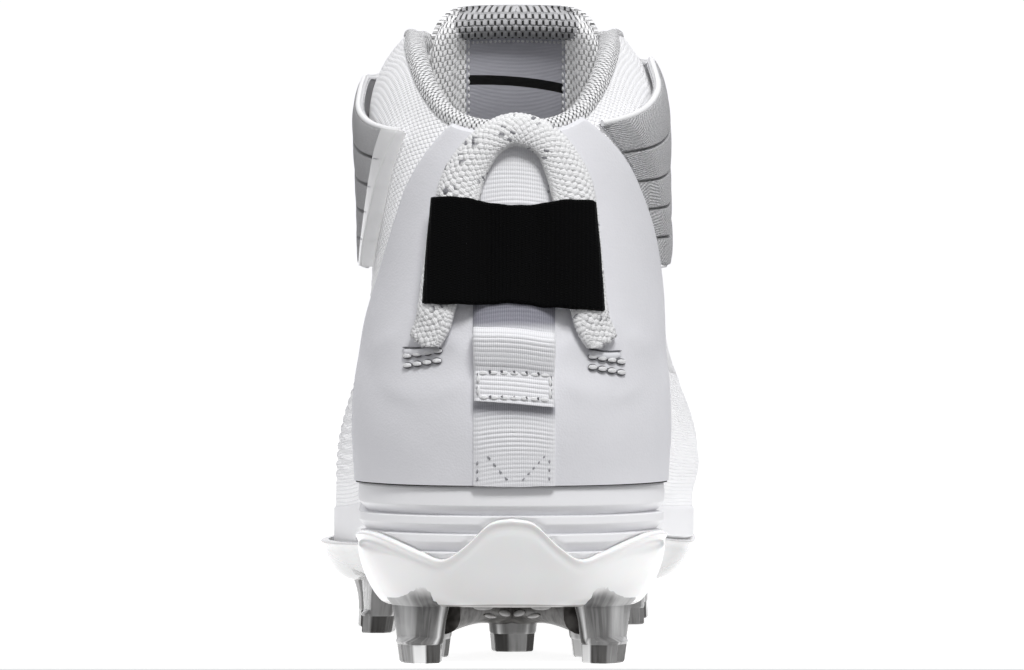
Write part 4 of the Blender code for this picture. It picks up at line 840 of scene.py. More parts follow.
def make_finishes():
    made = {}
    white = grey(250)

    # painted light: the mesh glows faintly white (emission), which lifts it where it lies in shade
    f = Finish("mesh_white", grey(247), 0.85, Sheen_Weight=0.25, Specular_IOR_Level=0.25, Emission_Strength=0.15)
    f.s.inputs["Emission Color"].default_value = (1.0, 1.0, 1.0, 1.0)
    u, v, at = f.mm()
    row = f.mul(f.math("MODULO", f.math("FLOOR", f.mul(v, 1 / 1.15)), 2.0), 0.5)
    dx = f.math("ABSOLUTE", f.plus(f.math("FRACT", f.plus(f.mul(u, 1 / 1.4), row)), -0.5))
    dy = f.apart(v, 1.15)
    dot = f.mul(f.step(dx, 0.46, 0.16), f.step(dy, 0.48, 0.2))
    grain = f.noise(at, 0.4, 3.0, 0.6)
    f.colour(f.mix(f.plus(f.mul(dot, 0.75), f.mul(grain, 0.3)), grey(240, -4), grey(254)))
    f.bump(f.plus(dot, f.mul(grain, 0.3)), 0.22)
    made["mesh"] = f.m

    f = Finish("upper_skin", grey(246, -1), 0.5, Specular_IOR_Level=0.4)
    x, y, z, at = f.here()
    grain = f.cells(at, 0.8)
    f.colour(f.mix(f.noise(at, 9.0, 3.0), grey(247, -2), grey(252)))
    f.rough(f.step(f.noise(at, 3.0, 3.0), 0.3, 0.7, 0.42, 0.58))
    f.bump(grain, 0.05)
    made["skin"] = f.m

    f = Finish("lining", grey(228, -1), 0.95, Sheen_Weight=0.3)
    u, v, at = f.mm()
    rib = f.mul(f.wave(u, 1.0), f.wave(v, 1.0))
    f.colour(f.mix(rib, grey(206, -2), grey(236, -1)))
    f.bump(rib, 0.15)
    made["lining"] = f.m

    f = Finish("counter_white", grey(228, -2), 0.5, Specular_IOR_Level=0.4)
    x, y, z, at = f.here()
    pore = f.cells(at, 0.55)
    cloud = f.noise(at, 14.0, 3.0, 0.55)
    f.colour(f.mix(cloud, grey(229, -4), grey(236, -4)))
    f.rough(f.step(f.noise(at, 2.2, 3.0), 0.3, 0.7, 0.44, 0.6))
    first = f.bump(pore, 0.035)
    f.bump(f.noise(at, 6.0, 3.0, 0.6), 0.12, first)
    made["counter"] = f.m

    made["collar"] = knit("collar_knit", grey(253, -1), grey(60), 1.2, 1.0, 0.8, 0.34, 0.75)
    made["tongue"] = knit("tongue_knit", grey(255, -1), grey(44), 1.5, 1.2, 0.9, 0.5, 0.8)
    # painted light: the tongue's knit glows faintly white (emission), which lifts it inside the collar
    glow = made["tongue"].node_tree.nodes["Principled BSDF"]
    glow.inputs["Emission Color"].default_value = (1.0, 1.0, 1.0, 1.0)
    glow.inputs["Emission Strength"].default_value = 0.14
    made["spacer"] = knit("tongue_spacer", grey(206, -2), grey(10), 1.7, 1.5, 0.3, 0.7, 2.4)

    f = Finish("label_satin", grey(214, -2), 0.36, Specular_IOR_Level=0.5, Anisotropic=0.5)
    u, v, at = f.mm()
    thread = f.wave(v, 0.35)
    # a plain dark bar woven across the panel, a little lower at one end
    bar = f.math("ABSOLUTE", f.plus(f.plus(v, f.mul(u, -0.09)), -19.2))
    bar = f.step(bar, 1.18, 1.3, 1.0, 0.0)
    wide = f.step(f.math("ABSOLUTE", u), 11.9, 12.05, 1.0, 0.0)
    base = f.mix(f.noise(f.vector(f.mul(u, 0.25), f.mul(v, 3.0)), 1.2, 3.0), grey(184, -9), grey(206, -8))
    f.colour(f.mix(f.mul(bar, wide), base, grey(18)))
    f.bump(thread, 0.05)
    made["label"] = f.m

    # the groove finish is a darker copy of the strap's: painted shade for the strap's grooves
    for key, low, high in (("strap", 122, 238), ("groove", 66, 110)):
        f = Finish("strap_white" if key == "strap" else "strap_groove", grey(high), 0.85, Sheen_Weight=0.35, Specular_IOR_Level=0.25)
        u, v, at = f.mm()
        twill = f.wave(f.plus(f.mul(u, 0.8), f.mul(v, 1.0)), 0.62)
        thread = f.wave(u, 0.36)
        fleck = f.noise(f.vector(f.mul(u, 0.7), f.mul(v, 1.6)), 0.42, 3.0, 0.7)
        light = f.plus(f.mul(twill, 0.42), f.mul(f.step(fleck, 0.36, 0.62), 0.58))
        f.colour(f.mix(light, grey(low, -4), grey(high, -1)))
        f.bump(f.plus(twill, f.plus(f.mul(thread, 0.4), f.mul(fleck, 0.5))), 0.2)
        made[key] = f.m

    f = Finish("strap_piping", grey(250), 0.6, Specular_IOR_Level=0.35)
    u, v, at = f.mm()
    f.colour(f.mix(f.noise(at, 3.0, 3.0), grey(243, -1), grey(252)))
    f.bump(f.wave(f.plus(u, v), 0.5), 0.06)
    made["piping"] = f.m

    f = Finish("strap_end_clear", grey(240, -1), 0.16, Transmission_Weight=0.45, IOR=1.46, Coat_Weight=0.6, Coat_Roughness=0.08)
    x, y, z, at = f.here()
    f.colour(f.mix(f.noise(at, 5.0, 2.0), grey(242, -1), grey(252)))
    # painted light: the clear strip glows faintly white (emission)
    f.s.inputs["Emission Color"].default_value = (1.0, 1.0, 1.0, 1.0)
    f.s.inputs["Emission Strength"].default_value = 0.12
    f.bump(f.noise(at, 2.5, 2.0), 0.05)
    made["clear_end"] = f.m

    f = Finish("webbing_white", grey(248, -1), 0.6, Sheen_Weight=0.3, Specular_IOR_Level=0.4)
    u, v, at = f.mm()
    weave = f.wave(u, 0.42)
    fibre = f.noise(f.vector(f.mul(u, 3.0), v), 0.5, 3.0, 0.6)
    # the tone attribute paints shadow here: the webbing darkens below the grip band and below the tab's foot
    f.colour(f.mix(f.plus(f.mul(weave, 0.5), f.mul(fibre, 0.5)), f.mix(f.tone(), grey(228, -4), grey(96, -10)), f.mix(f.tone(), grey(251, -2), grey(150, -12))))
    f.bump(f.plus(f.mul(weave, 0.6), fibre), 0.06)
    made["web"] = f.m

    f = Finish("thread_grey", grey(168, -4), 0.6, Specular_IOR_Level=0.4)
    u, v, at = f.mm()
    f.colour(f.mix(f.noise(at, 0.5, 2.0), grey(120, -6), grey(196, -4)))
    f.bump(f.wave(f.plus(u, v), 0.22), 0.04)
    made["thread_grey"] = f.m

    f = Finish("thread_white", grey(250, -1), 0.5, Specular_IOR_Level=0.4)
    u, v, at = f.mm()
    f.colour(f.mix(f.wave(f.plus(u, v), 0.24), grey(234, -2), grey(253)))
    f.bump(f.wave(f.plus(u, v), 0.24), 0.05)
    made["thread_white"] = f.m

    f = Finish("braid_white", grey(249), 0.62, Sheen_Weight=0.2, Specular_IOR_Level=0.35)
    u, v, at = f.mm()
    fibre = f.wave(u, 0.26)
    fuzz = f.noise(f.vector(f.mul(u, 2.0), f.mul(v, 0.6)), 0.3, 3.0, 0.6)
    pale = f.mix(f.plus(f.mul(fibre, 0.5), f.mul(fuzz, 0.5)), grey(234, -1), grey(253))
    dark = f.mix(fuzz, grey(96, -5), grey(160, -5))
    f.colour(f.mix(f.tone(), pale, dark))
    f.bump(f.plus(fibre, f.mul(fuzz, 0.7)), 0.06)
    made["braid"] = f.m

    f = Finish("braid_core", grey(150, -2), 0.95)
    x, y, z, at = f.here()
    f.colour(f.mix(f.noise(at, 1.2, 2.0), grey(120, -2), grey(180, -2)))
    f.bump(f.noise(at, 0.6, 2.0), 0.1)
    made["core"] = f.m

    f = Finish("seam_shade", grey(92, -4), 0.9)
    x, y, z, at = f.here()
    f.colour(f.mix(f.noise(at, 0.8, 2.0), grey(64, -3), grey(132, -5)))
    f.bump(f.noise(at, 0.6, 2.0), 0.05)
    made["shade"] = f.m

    # dark finish for painted shade in gaps and holes
    f = Finish("slot_dark", grey(46), 0.9)
    x, y, z, at = f.here()
    f.colour(f.mix(f.noise(at, 0.8, 2.0), grey(30), grey(74)))
    f.bump(f.noise(at, 0.6, 2.0), 0.1)
    made["slot"] = f.m

    f = Finish("band_black", grey(9), 0.85, Sheen_Weight=0.02, Sheen_Roughness=0.4, Specular_IOR_Level=0.1)
    u, v, at = f.mm()
    weave = f.mul(f.wave(f.plus(v, f.mul(f.math("FLOOR", f.mul(u, 1 / 0.8)), 0.3)), 0.62), f.wave(u, 0.8))
    fuzz = f.noise(f.vector(u, f.mul(v, 0.4)), 0.3, 3.0, 0.7)
    spark = f.step(f.noise(at, 0.42, 1.0, 0.6), 0.66, 0.78)
    shade = f.plus(f.mul(weave, 0.35), f.plus(f.mul(fuzz, 0.25), f.mul(spark, 0.6)))
    f.colour(f.mix(shade, grey(0), grey(18, -2)))
    f.bump(f.plus(weave, fuzz), 0.14)
    made["band"] = f.m

    f = Finish("midsole_white", grey(246, -0.5), 0.42, Specular_IOR_Level=0.45, Coat_Weight=0.1, Coat_Roughness=0.35)
    x, y, z, at = f.here()
    pale = f.mix(f.noise(at, 12.0, 3.0), grey(240, -2), grey(248, -2))
    # the tone attribute paints shade here: darker in the tucks under the ribs and under the feather edge round the heel
    f.colour(f.mix(f.tone(), pale, grey(190, -5)))
    f.rough(f.step(f.noise(at, 3.0, 3.0), 0.3, 0.7, 0.36, 0.5))
    f.bump(f.noise(at, 0.9, 3.0, 0.6), 0.02)
    # painted light: the midsole glows faintly white (emission)
    f.s.inputs["Emission Color"].default_value = (1.0, 1.0, 1.0, 1.0)
    f.s.inputs["Emission Strength"].default_value = 0.04
    made["midsole"] = f.m

    # painted light: the milky plate glows faintly white (emission), standing in for light scattered through it
    f = Finish("plate_milky", grey(236, 1.5), 0.2, Specular_IOR_Level=0.5, Coat_Weight=0.5, Coat_Roughness=0.1, Subsurface_Weight=0.12, Subsurface_Scale=0.003, Emission_Strength=0.07)
    f.s.inputs["Emission Color"].default_value = (1.0, 1.0, 1.0, 1.0)
    x, y, z, at = f.here()
    low = f.step(f.plus(z, f.mul(f.noise(at, 12.0, 2.0), 2.0)), 13.0, 25.0)
    pale = f.mix(f.noise(at, 22.0, 2.0), grey(242, 0.3), grey(247, 0.2))
    front = f.mix(f.step(z, 9.0, 24.0), grey(44, 1.0), grey(166, 0.3))
    f.colour(f.mix(f.step(y, -75.0, -30.0), f.mix(low, grey(212, 0.4), pale), front))
    f.bump(f.noise(at, 9.0, 2.0), 0.1)
    made["plate"] = f.m

    f = Finish("plate_clear", grey(150, 2.5), 0.12, Transmission_Weight=0.12, IOR=1.4, Specular_IOR_Level=0.35, Coat_Weight=0.2, Coat_Roughness=0.05)
    x, y, z, at = f.here()
    u, v, _ = f.mm()
    # smoky and streaked below, milky where it meets the cup; below, the tone attribute paints reflections on the studs
    # over their smoky tint
    streak = f.noise(f.vector(f.mul(u, 0.9), f.mul(v, 0.09)), 1.5, 2.0, 0.5)
    share = f.plus(f.tone(), f.mul(f.plus(f.step(streak, 0.40, 0.60), -0.5), 0.09))
    smoke = f.mix(f.step(share, 0.0, 1.0), grey(40, 2), grey(224, 0))
    start = f.step(y, -85.0, -55.0, -16.0, -13.0)
    cloud = f.step(f.plus(f.plus(z, f.mul(f.noise(at, 5.0, 2.0), 2.0)), start), 0.5, 4.5)
    milk = f.mix(f.step(y, -75.0, -30.0), grey(236, 0.5), grey(128, 1.0))
    f.colour(f.mix(cloud, smoke, milk))
    f.put(f.step(cloud, 0.0, 1.0, 0.12, 0.0), f.s.inputs["Transmission Weight"])
    f.bump(f.noise(at, 5.0, 2.0), 0.12)
    made["clear"] = f.m

    f = Finish("web_smoke", grey(96, 2), 0.3, Specular_IOR_Level=0.15, Coat_Weight=0.06, Coat_Roughness=0.1)
    x, y, z, at = f.here()
    f.colour(f.mix(f.step(f.noise(at, 4.5, 2.0, 0.6), 0.35, 0.7), grey(54, 2), grey(100, 2)))
    f.bump(f.noise(at, 3.5, 2.0), 0.25)
    made["smoke"] = f.m

    f = Finish("plate_underside", grey(130, 2.0), 0.16, Specular_IOR_Level=0.4, Coat_Weight=0.3, Coat_Roughness=0.05)
    x, y, z, at = f.here()
    f.colour(f.mix(f.noise(at, 10.0, 3.0, 0.6), grey(122, 2.5), grey(188, 2.0)))
    f.bump(f.noise(at, 6.0, 2.0), 0.15)
    made["under"] = f.m

    # the lens lumps are coloured lighter than the webs' smoke, partly as painted highlight
    f = Finish("plate_window", grey(160, 1.0), 0.3, Specular_IOR_Level=0.2, Coat_Weight=0.1, Coat_Roughness=0.05)
    x, y, z, at = f.here()
    f.colour(f.mix(f.noise(at, 3.0, 2.0), grey(132, 1.0), grey(188, 1.0)))
    f.bump(f.noise(at, 3.0, 2.0), 0.05)
    made["window"] = f.m

    f = Finish("insole_cloth", grey(176, -1), 0.95, Sheen_Weight=0.4)
    u, v, at = f.mm()
    x, y, z, here = f.here()
    weave = f.mul(f.wave(f.plus(x, y), 0.9), f.wave(f.plus(x, f.mul(y, -1.0)), 0.9))
    f.colour(f.mix(f.plus(f.mul(weave, 0.7), f.mul(f.noise(here, 0.7, 2.0), 0.4)), grey(138, -2), grey(206, -1)))
    f.bump(weave, 0.2)
    made["insole"] = f.m

    f = Finish("lace_white", grey(250), 0.75, Sheen_Weight=0.3, Specular_IOR_Level=0.3)
    u, v, at = f.mm()
    a = f.wave(f.plus(v, f.mul(f.apart(u, 1.6), 1.3)), 0.72)
    b = f.wave(u, 0.55)
    f.colour(f.mix(f.plus(f.mul(a, 0.6), f.mul(b, 0.4)), grey(222, -2), grey(253)))
    f.bump(f.plus(a, f.mul(b, 0.6)), 0.16)
    made["lace"] = f.m

    f = Finish("eyelet_punch", grey(214, -1), 0.4, Specular_IOR_Level=0.5)
    x, y, z, at = f.here()
    f.colour(f.mix(f.noise(at, 1.0, 2.0), grey(200, -1), grey(228, -1)))
    f.bump(f.noise(at, 0.6, 2.0), 0.03)
    made["eyelet"] = f.m

    f = Finish("studio_floor", grey(250), 0.8)
    x, y, z, at = f.here()
    # darker behind the heel, so that light comes from above and ahead
    ahead = f.step(y, -175.0, -135.0)
    side = f.plus(f.math("ABSOLUTE", x), f.mul(y, -0.10))
    ahead = f.mul(ahead, f.step(side, 150.0, 210.0, 1.0, 0.0))
    f.colour(f.mix(ahead, grey(104), f.mix(f.noise(at, 60.0, 2.0), grey(166), grey(172))))
    f.s.inputs["Emission Color"].default_value = (1.0, 1.0, 1.0, 1.0)
    f.put(f.mul(ahead, 0.88), f.s.inputs["Emission Strength"])
    made["floor"] = f.m
    return made


FINISH = make_finishes()


# ---- upper, counter, collar ------------------------------------------------------------------------------------
def throat_half(t):
    """Half width of the throat at a level of the upper."""
    share = (t - THROAT_START) / (1 - THROAT_START)
    return (THROAT_HALF_LOW + (THROAT_HALF_TOP - THROAT_HALF_LOW) * share) * min(1.0, math.sqrt(max(share, 0.0) / 0.09))


def reach_at(t):
    """How far round, by the outer and the inner side, a level of the upper runs before the throat."""
    return throat_q(t, throat_half(t)) if t > THROAT_START else [1.0, 1.0]


def upper_relief(q, p):
    """Ribs, flex creases and hand-made unevenness of the upper, in millimetres out from the last."""
    y, z = p[..., 1], p[..., 2]
    foot = sole("feather", y)
    away = 1 - ease(0.78, 0.93, np.abs(q))
    lat = q < 0
    level = ease(foot + 3, foot + 10, z) * (1 - ease(88, 102, z))
    fine_ribs = np.sin(2 * np.pi * (z + 1.4 * np.sin(y / 19.0) + 0.5 * np.sin(y / 7.3)) / 2.75)
    out = np.where(lat, 0.34 * fine_ribs * level * ease(70, 112, y) * (1 - ease(232, 262, y)) * away, 0.0)
    slant = (z * 0.86 + y * 0.50 + 1.0 * np.sin(y / 16.0)) / 8.2
    broad = 2 * np.abs(np.sin(np.pi * slant)) ** 0.8 - 1.2
    out = out + np.where(~lat, 0.52 * broad * level * ease(74, 118, y) * (1 - ease(226, 256, y)) * away, 0.0)
    side = p[..., 0] - station("ridge_x", y)
    for at, lean, depth in ((204.0, 0.10, 0.55), (214.5, 0.05, 0.75), (226.0, -0.03, 0.6), (236.5, -0.08, 0.35)):
        across = (y - at + lean * np.abs(side) + 1.2 * np.sin(side / 9.0 + at)) / 2.3
        reach = 1 - ease(24, 38, np.abs(side))
        out = out - depth * reach * (np.exp(-across**2) - 0.45 * np.exp(-((np.abs(across) - 1.9) ** 2)))
    out = out + 0.16 * ripple(y / 13.0 + z / 31.0, 1) * ripple(z / 11.0 - y / 47.0, 2)
    return out


def make_upper():
    half = 110
    low = np.r_[np.linspace(0, THROAT_START, 56), THROAT_START + (1 - THROAT_START) * np.linspace(0, 1, 90)[1:] ** 1.25]
    rows = len(low)
    q, t = [], []
    for level in low:
        reach = reach_at(level)
        q.append(np.r_[-reach[0] * np.linspace(1, 0, half + 1), reach[1] * np.linspace(0, 1, half + 1)[1:]])
        t.append(np.full(2 * half + 1, level))
    q, t = np.array(q), np.array(t)
    base, normal = surface(q, t)
    out = upper_relief(q, base)
    edge = np.minimum(ease(0, 0.05, 1 - t), 1.0)
    outer = base + normal * (out * edge)[..., None]
    inner = base - normal * WALL
    outer[0, :, 2] += 0.1
    inner[0, :, 2] = outer[0, :, 2]
    closed = int(np.sum(low <= THROAT_START))
    cols = outer.shape[1]
    n = rows * cols
    faces = faces_of(rows, cols) + faces_of(rows, cols, n, flip=True)
    index = [0] * ((rows - 1) * (cols - 1)) + [1] * ((rows - 1) * (cols - 1))
    extra = []
    for j in range(cols - 1):
        last = (rows - 1) * cols
        extra += [[j + 1, j, n + j, n + j + 1], [last + j, last + j + 1, n + last + j + 1, n + last + j]]
    for i in range(closed - 1, rows - 1):
        a, b = i * cols, (i + 1) * cols
        extra += [[a, b, n + b, n + a], [b + cols - 1, a + cols - 1, n + a + cols - 1, n + b + cols - 1]]
    uv = grid_uv(outer)
    heap = Heap()
    heap.add(np.vstack([outer.reshape(-1, 3), inner.reshape(-1, 3)]), faces + extra, np.vstack([uv.reshape(-1, 2)] * 2), index + [0] * len(extra))
    obj = heap.make("upper_shell", [FINISH["mesh"], FINISH["lining"]], weld=True)
    return declare(obj, ["upper"])


def overlay(name, q, t, height, mat, under=0.05, edge=1.2, relief=True, sides=(True, True, True, True), smooth=True):
    """A skin lying on the upper over a grid of q and t, its edges rounded down; sides: first column, last column, bottom, top."""
    base, normal = surface(q, t)
    u, v = run_of(base, 1), run_of(base, 0)
    far = np.full(u.shape, 1e3)
    for use, dist in zip(sides, (u, u[:, -1:] - u, v, v[-1:] - v)):
        if use:
            far = np.minimum(far, dist)
    crown = np.sqrt(np.clip(1 - (1 - np.clip(far / edge, 0, 1)) ** 2, 0, 1))
    lift = under + (height - under) * (0.25 + 0.75 * crown)
    if relief:
        lift = lift + 0.35 * upper_relief(q, base)
    heap = Heap()
    two_sided(heap, base + normal * lift[..., None], base + normal * (under - 0.6))
    return heap.make(name, [mat])


def make_eyestay():
    """Smooth facings round the throat, a half on each side, that meet on the ridge in front of it."""
    made = []
    for side, name in ((0, "eyestay_outer"), (1, "eyestay_inner")):
        low = np.r_[np.linspace(0.262, THROAT_START, 22), THROAT_START + (1 - THROAT_START) * np.linspace(0, 1, 80)[1:] ** 1.2]
        low = low[low <= 0.985]
        q, t = [], []
        for level in low:
            reach = reach_at(level)[side]
            wide = 14.0 if level > THROAT_START else 14.0 + throat_half(THROAT_START + 1e-4)
            if level < 0.35:
                wide = 2.0 + 17.0 * math.sqrt(max(0.0, 1 - ((0.35 - level) / 0.09) ** 2)) if level > 0.2621 else 2.0
            line = np.linspace(max(reach - 0.42, 0.05), reach, 160)
            pts, _ = surface(line, np.full_like(line, level)) if side else surface(-line, np.full_like(line, level))
            run = np.r_[0, np.cumsum(np.linalg.norm(np.diff(pts, axis=0), axis=1))]
            start = float(np.interp(run[-1] - wide, run, line))
            q.append(np.linspace(start, reach, 22) * (1 if side else -1))
            t.append(np.full(22, level))
        q, t = np.array(q), np.array(t)
        obj = overlay(name, q, t, 0.95, FINISH["skin"], sides=(True, False, True, False), relief=False)
        made.append(declare(obj, ["upper"]))
    return made


def counter_grid(rows, cols):
    """q and t over the heel counter, from its foot to the collar and from its outer front edge to its inner one."""
    q, t = [], []
    for level in np.linspace(0.004, 0.998, rows):
        line = np.linspace(0.01, 0.98, 200)
        yz = side_view(fine(line), np.full_like(line, level))
        ends = []
        for name in ("lat_y", "med_y"):
            gap = yz[:, 0] - column(COUNTER_EDGES, COUNTER_EDGE, "z", name, yz[:, 1])
            ends.append(float(np.interp(0, gap, line)))
        run = np.linspace(-1, 1, cols)
        q.append(np.where(run < 0, run * ends[0], run * ends[1]))
        t.append(np.full(cols, level))
    return np.array(q), np.array(t)


CORD_FEET = ((CORDS[0][0], CORDS[0][1]), (CORDS[-1][0], CORDS[-1][1]))


def make_counter():
    q, t = counter_grid(96, 156)
    base, normal = surface(q, t)
    u, v = run_of(base, 1), run_of(base, 0)
    far = np.minimum(np.minimum(u, u[:, -1:] - u), v[-1:] - v)
    crown = np.sqrt(np.clip(1 - (1 - np.clip(far / 1.5, 0, 1)) ** 2, 0, 1))
    lift = GAP + 0.1 + (COUNTER - 0.1) * (0.15 + 0.85 * crown)
    x, z = base[..., 0], base[..., 2]
    for fx, fz in CORD_FEET:
        r2 = ((x - fx) / 5.0) ** 2 + ((z - fz + 3.0) / 4.0) ** 2
        lift = lift - 0.55 * np.exp(-r2)
        r = np.sqrt(((x - fx * 1.05) / 7.5) ** 2 + ((z - fz + 2.0) / 6.5) ** 2)
        lift = lift + 0.35 * np.exp(-((r - 1.35) / 0.35) ** 2) * (0.6 + 0.4 * np.sin(5 * np.arctan2(z - fz, x - fx)))
    lift = lift + 0.10 * ripple(z / 9.0 + x / 14.0, 3) * ripple(x / 8.0 - z / 23.0, 4) * crown
    lift = lift - 0.35 * np.exp(-((z - 50 - 0.02 * x**2) / 7.0) ** 2) * ease(8, 30, np.abs(x)) * crown
    heap = Heap()
    two_sided(heap, base + normal * lift[..., None], base + normal * 0.05)
    return declare(heap.make("counter_skin", [FINISH["counter"]]), ["heel_counter"])


def make_collar():
    """Knit roll over the top edge, plump, with the pad inside it."""
    lat, med = throat_q(1.0, THROAT_HALF_TOP + 4.8)
    qs = np.linspace(-lat, med, 170)
    face = [(0.72, 0.0), (0.80, 1.8), (0.88, 3.4), (0.95, 4.4), (0.995, 4.4)]
    levels = np.array([f[0] for f in face])
    q2, t2 = np.meshgrid(qs, levels, indexing="ij")
    pts, nrm = surface(q2, t2)
    edge, n1 = surface(qs, np.ones_like(qs))
    below, _ = surface(qs, np.full_like(qs, 0.985))
    along = (edge - below) / np.linalg.norm(edge - below, axis=1, keepdims=True)
    back = 1 - ease(0.10, 0.30, np.abs(qs))
    front = 1 - 0.80 * ease(0.42, 0.80, np.abs(qs) / np.where(qs < 0, lat, med))
    ring = []
    for k in range(len(face)):
        ring.append(pts[:, k] - nrm[:, k] * (WALL + GAP + 0.2))
    plump = 0.95 + 0.05 * np.sin(qs * 37.0)
    for depth, rise in ((WALL + GAP + 0.2, 0.3), (0.1, -1.2), (-0.6, -0.2), (-0.7, 1.3), (0.5, 2.7), (2.5, 3.2), (4.6, 2.5)):
        thin = min(depth, WALL) + max(depth - WALL, 0) * front
        if depth < 0:
            thin = depth * plump
        ring.append(edge - n1 * np.asarray(thin)[..., None] * np.ones((1, 1)) + along * (rise * (0.55 + 0.45 * front))[:, None])
    for k in range(len(face) - 1, 0, -1):
        thick = face[k][1] * 0.72
        ring.append(pts[:, k] - nrm[:, k] * (WALL + GAP + 0.85 + thick * (1 - 0.25 * back) * front)[:, None])
    rings = smooth_loop(np.stack(ring, axis=1), 5)
    rows, cols = rings.shape[:2]
    around_run = np.cumsum(np.linalg.norm(rings - np.roll(rings, 1, axis=1), axis=-1), axis=1)
    mid = rings.mean(axis=1)
    length = np.r_[0, np.cumsum(np.linalg.norm(np.diff(edge, axis=0), axis=1))]
    uv = np.stack([np.broadcast_to(length[:, None], (rows, cols)), around_run], -1)
    heap = Heap()
    faces = faces_of(rows, cols, 0, True) + [list(range(cols))[::-1], [(rows - 1) * cols + j for j in range(cols)]]
    heap.add(rings, faces, uv)
    obj = heap.make("collar_pad", [FINISH["collar"]], sharp=60)
    del mid
    return declare(obj, ["collar_roll"])


# ---- tongue ----------------------------------------------------------------------------------------------------
RIM_SIDE, RIM_TOP, TONGUE_CORNER = 10.6, 8.2, 13.0


def tongue_rows(rows):
    """Levels of the tongue, their run up it in millimetres and its half width there."""
    levels = np.linspace(TONGUES[0][0], TONGUES[-1][0], 260)
    at = np.array([front_point(t)[0] for t in levels])
    run = np.r_[0, np.cumsum(np.linalg.norm(np.diff(at, axis=0), axis=1))]
    stop = run[-1]
    even = stop * (1 - (1 - np.linspace(0, 1, rows)) ** 1.35)
    t = np.interp(even, run, levels)
    plain = column(TONGUES[:-2], TONGUE_ROW, "ridge_t", "half_width", np.minimum(t, 0.96))
    down = np.clip(TONGUE_CORNER - (stop - even), 0, TONGUE_CORNER)
    half = plain - TONGUE_CORNER + np.sqrt(np.maximum(TONGUE_CORNER**2 - down**2, 0.0))
    return t, even, stop, plain, half


def tongue_skin(rows, cols, w_of=None):
    """Front and back grids of the tongue, millimetre coordinates and how far each point is into the rim, 0 at its edge."""
    t, run, stop, plain, half = tongue_rows(rows)
    w = np.sin(np.linspace(-1, 1, cols) * math.pi / 2) * 0.5 + np.linspace(-1, 1, cols) * 0.5
    front, back, uv, depth_in = [], [], [], []
    for i in range(rows):
        arc, thick = (float(column(TONGUES, TONGUE_ROW, "ridge_t", c, t[i])) for c in ("arc", "thick"))
        at, along, inward = front_point(t[i])
        x = w * half[i]
        angle = x / arc
        side_far = (half[i] - np.abs(x)) / RIM_SIDE
        top_far = (stop - run[i]) / RIM_TOP
        corner = np.hypot(np.maximum(1 - side_far, 0), max(1 - top_far, 0))
        far = np.where((side_far < 1) & (top_far < 1), 1 - np.minimum(corner, 1), np.minimum(side_far, top_far))
        rise = float(ease(0.66, 0.84, t[i]))
        bulge = np.sqrt(np.clip(1 - (2 * np.clip(far, 0, 1) - 1) ** 2, 0, 1)) ** 0.85
        closing = np.sqrt(np.clip(1 - (1 - np.clip(far * 2.6, 0, 1)) ** 2, 0, 1))
        body = 2.6 + (thick - 2.6) * (1 - rise)
        pad_wave = 0.16 * np.sin(run[i] / 3.1 + 0.6 * np.sin(x / 5.0)) * bulge
        lift = 1.7 * bulge * rise + 0.35 * np.cos(x / 9.0) * (1 - rise)
        drop_front = WALL + GAP + 1.3 + arc * (1 - np.cos(angle)) - lift * closing + 1.2 * (1 - closing)
        drop_back = WALL + GAP + 1.3 + arc * (1 - np.cos(angle)) + body * (0.35 + 0.65 * closing) + rise * (6.2 * bulge + pad_wave)
        xx = arc * np.sin(angle) * (1 + 0.085 * rise) + 0.7 * rise
        for drop, grid in ((drop_front, front), (drop_back, back)):
            side = at[None] + inward[None] * drop[:, None]
            inset = -np.sign(x) * (rise * 1.1 * (1 - closing)) if grid is back else 0.0
            grid.append(np.stack([station("ridge_x", side[:, 0]) + xx + inset, side[:, 0], side[:, 1]], -1))
        uv.append(np.stack([x, np.full_like(x, stop - run[i])], -1))
        depth_in.append(far)
    return np.array(front), np.array(back), np.array(uv), np.array(depth_in)


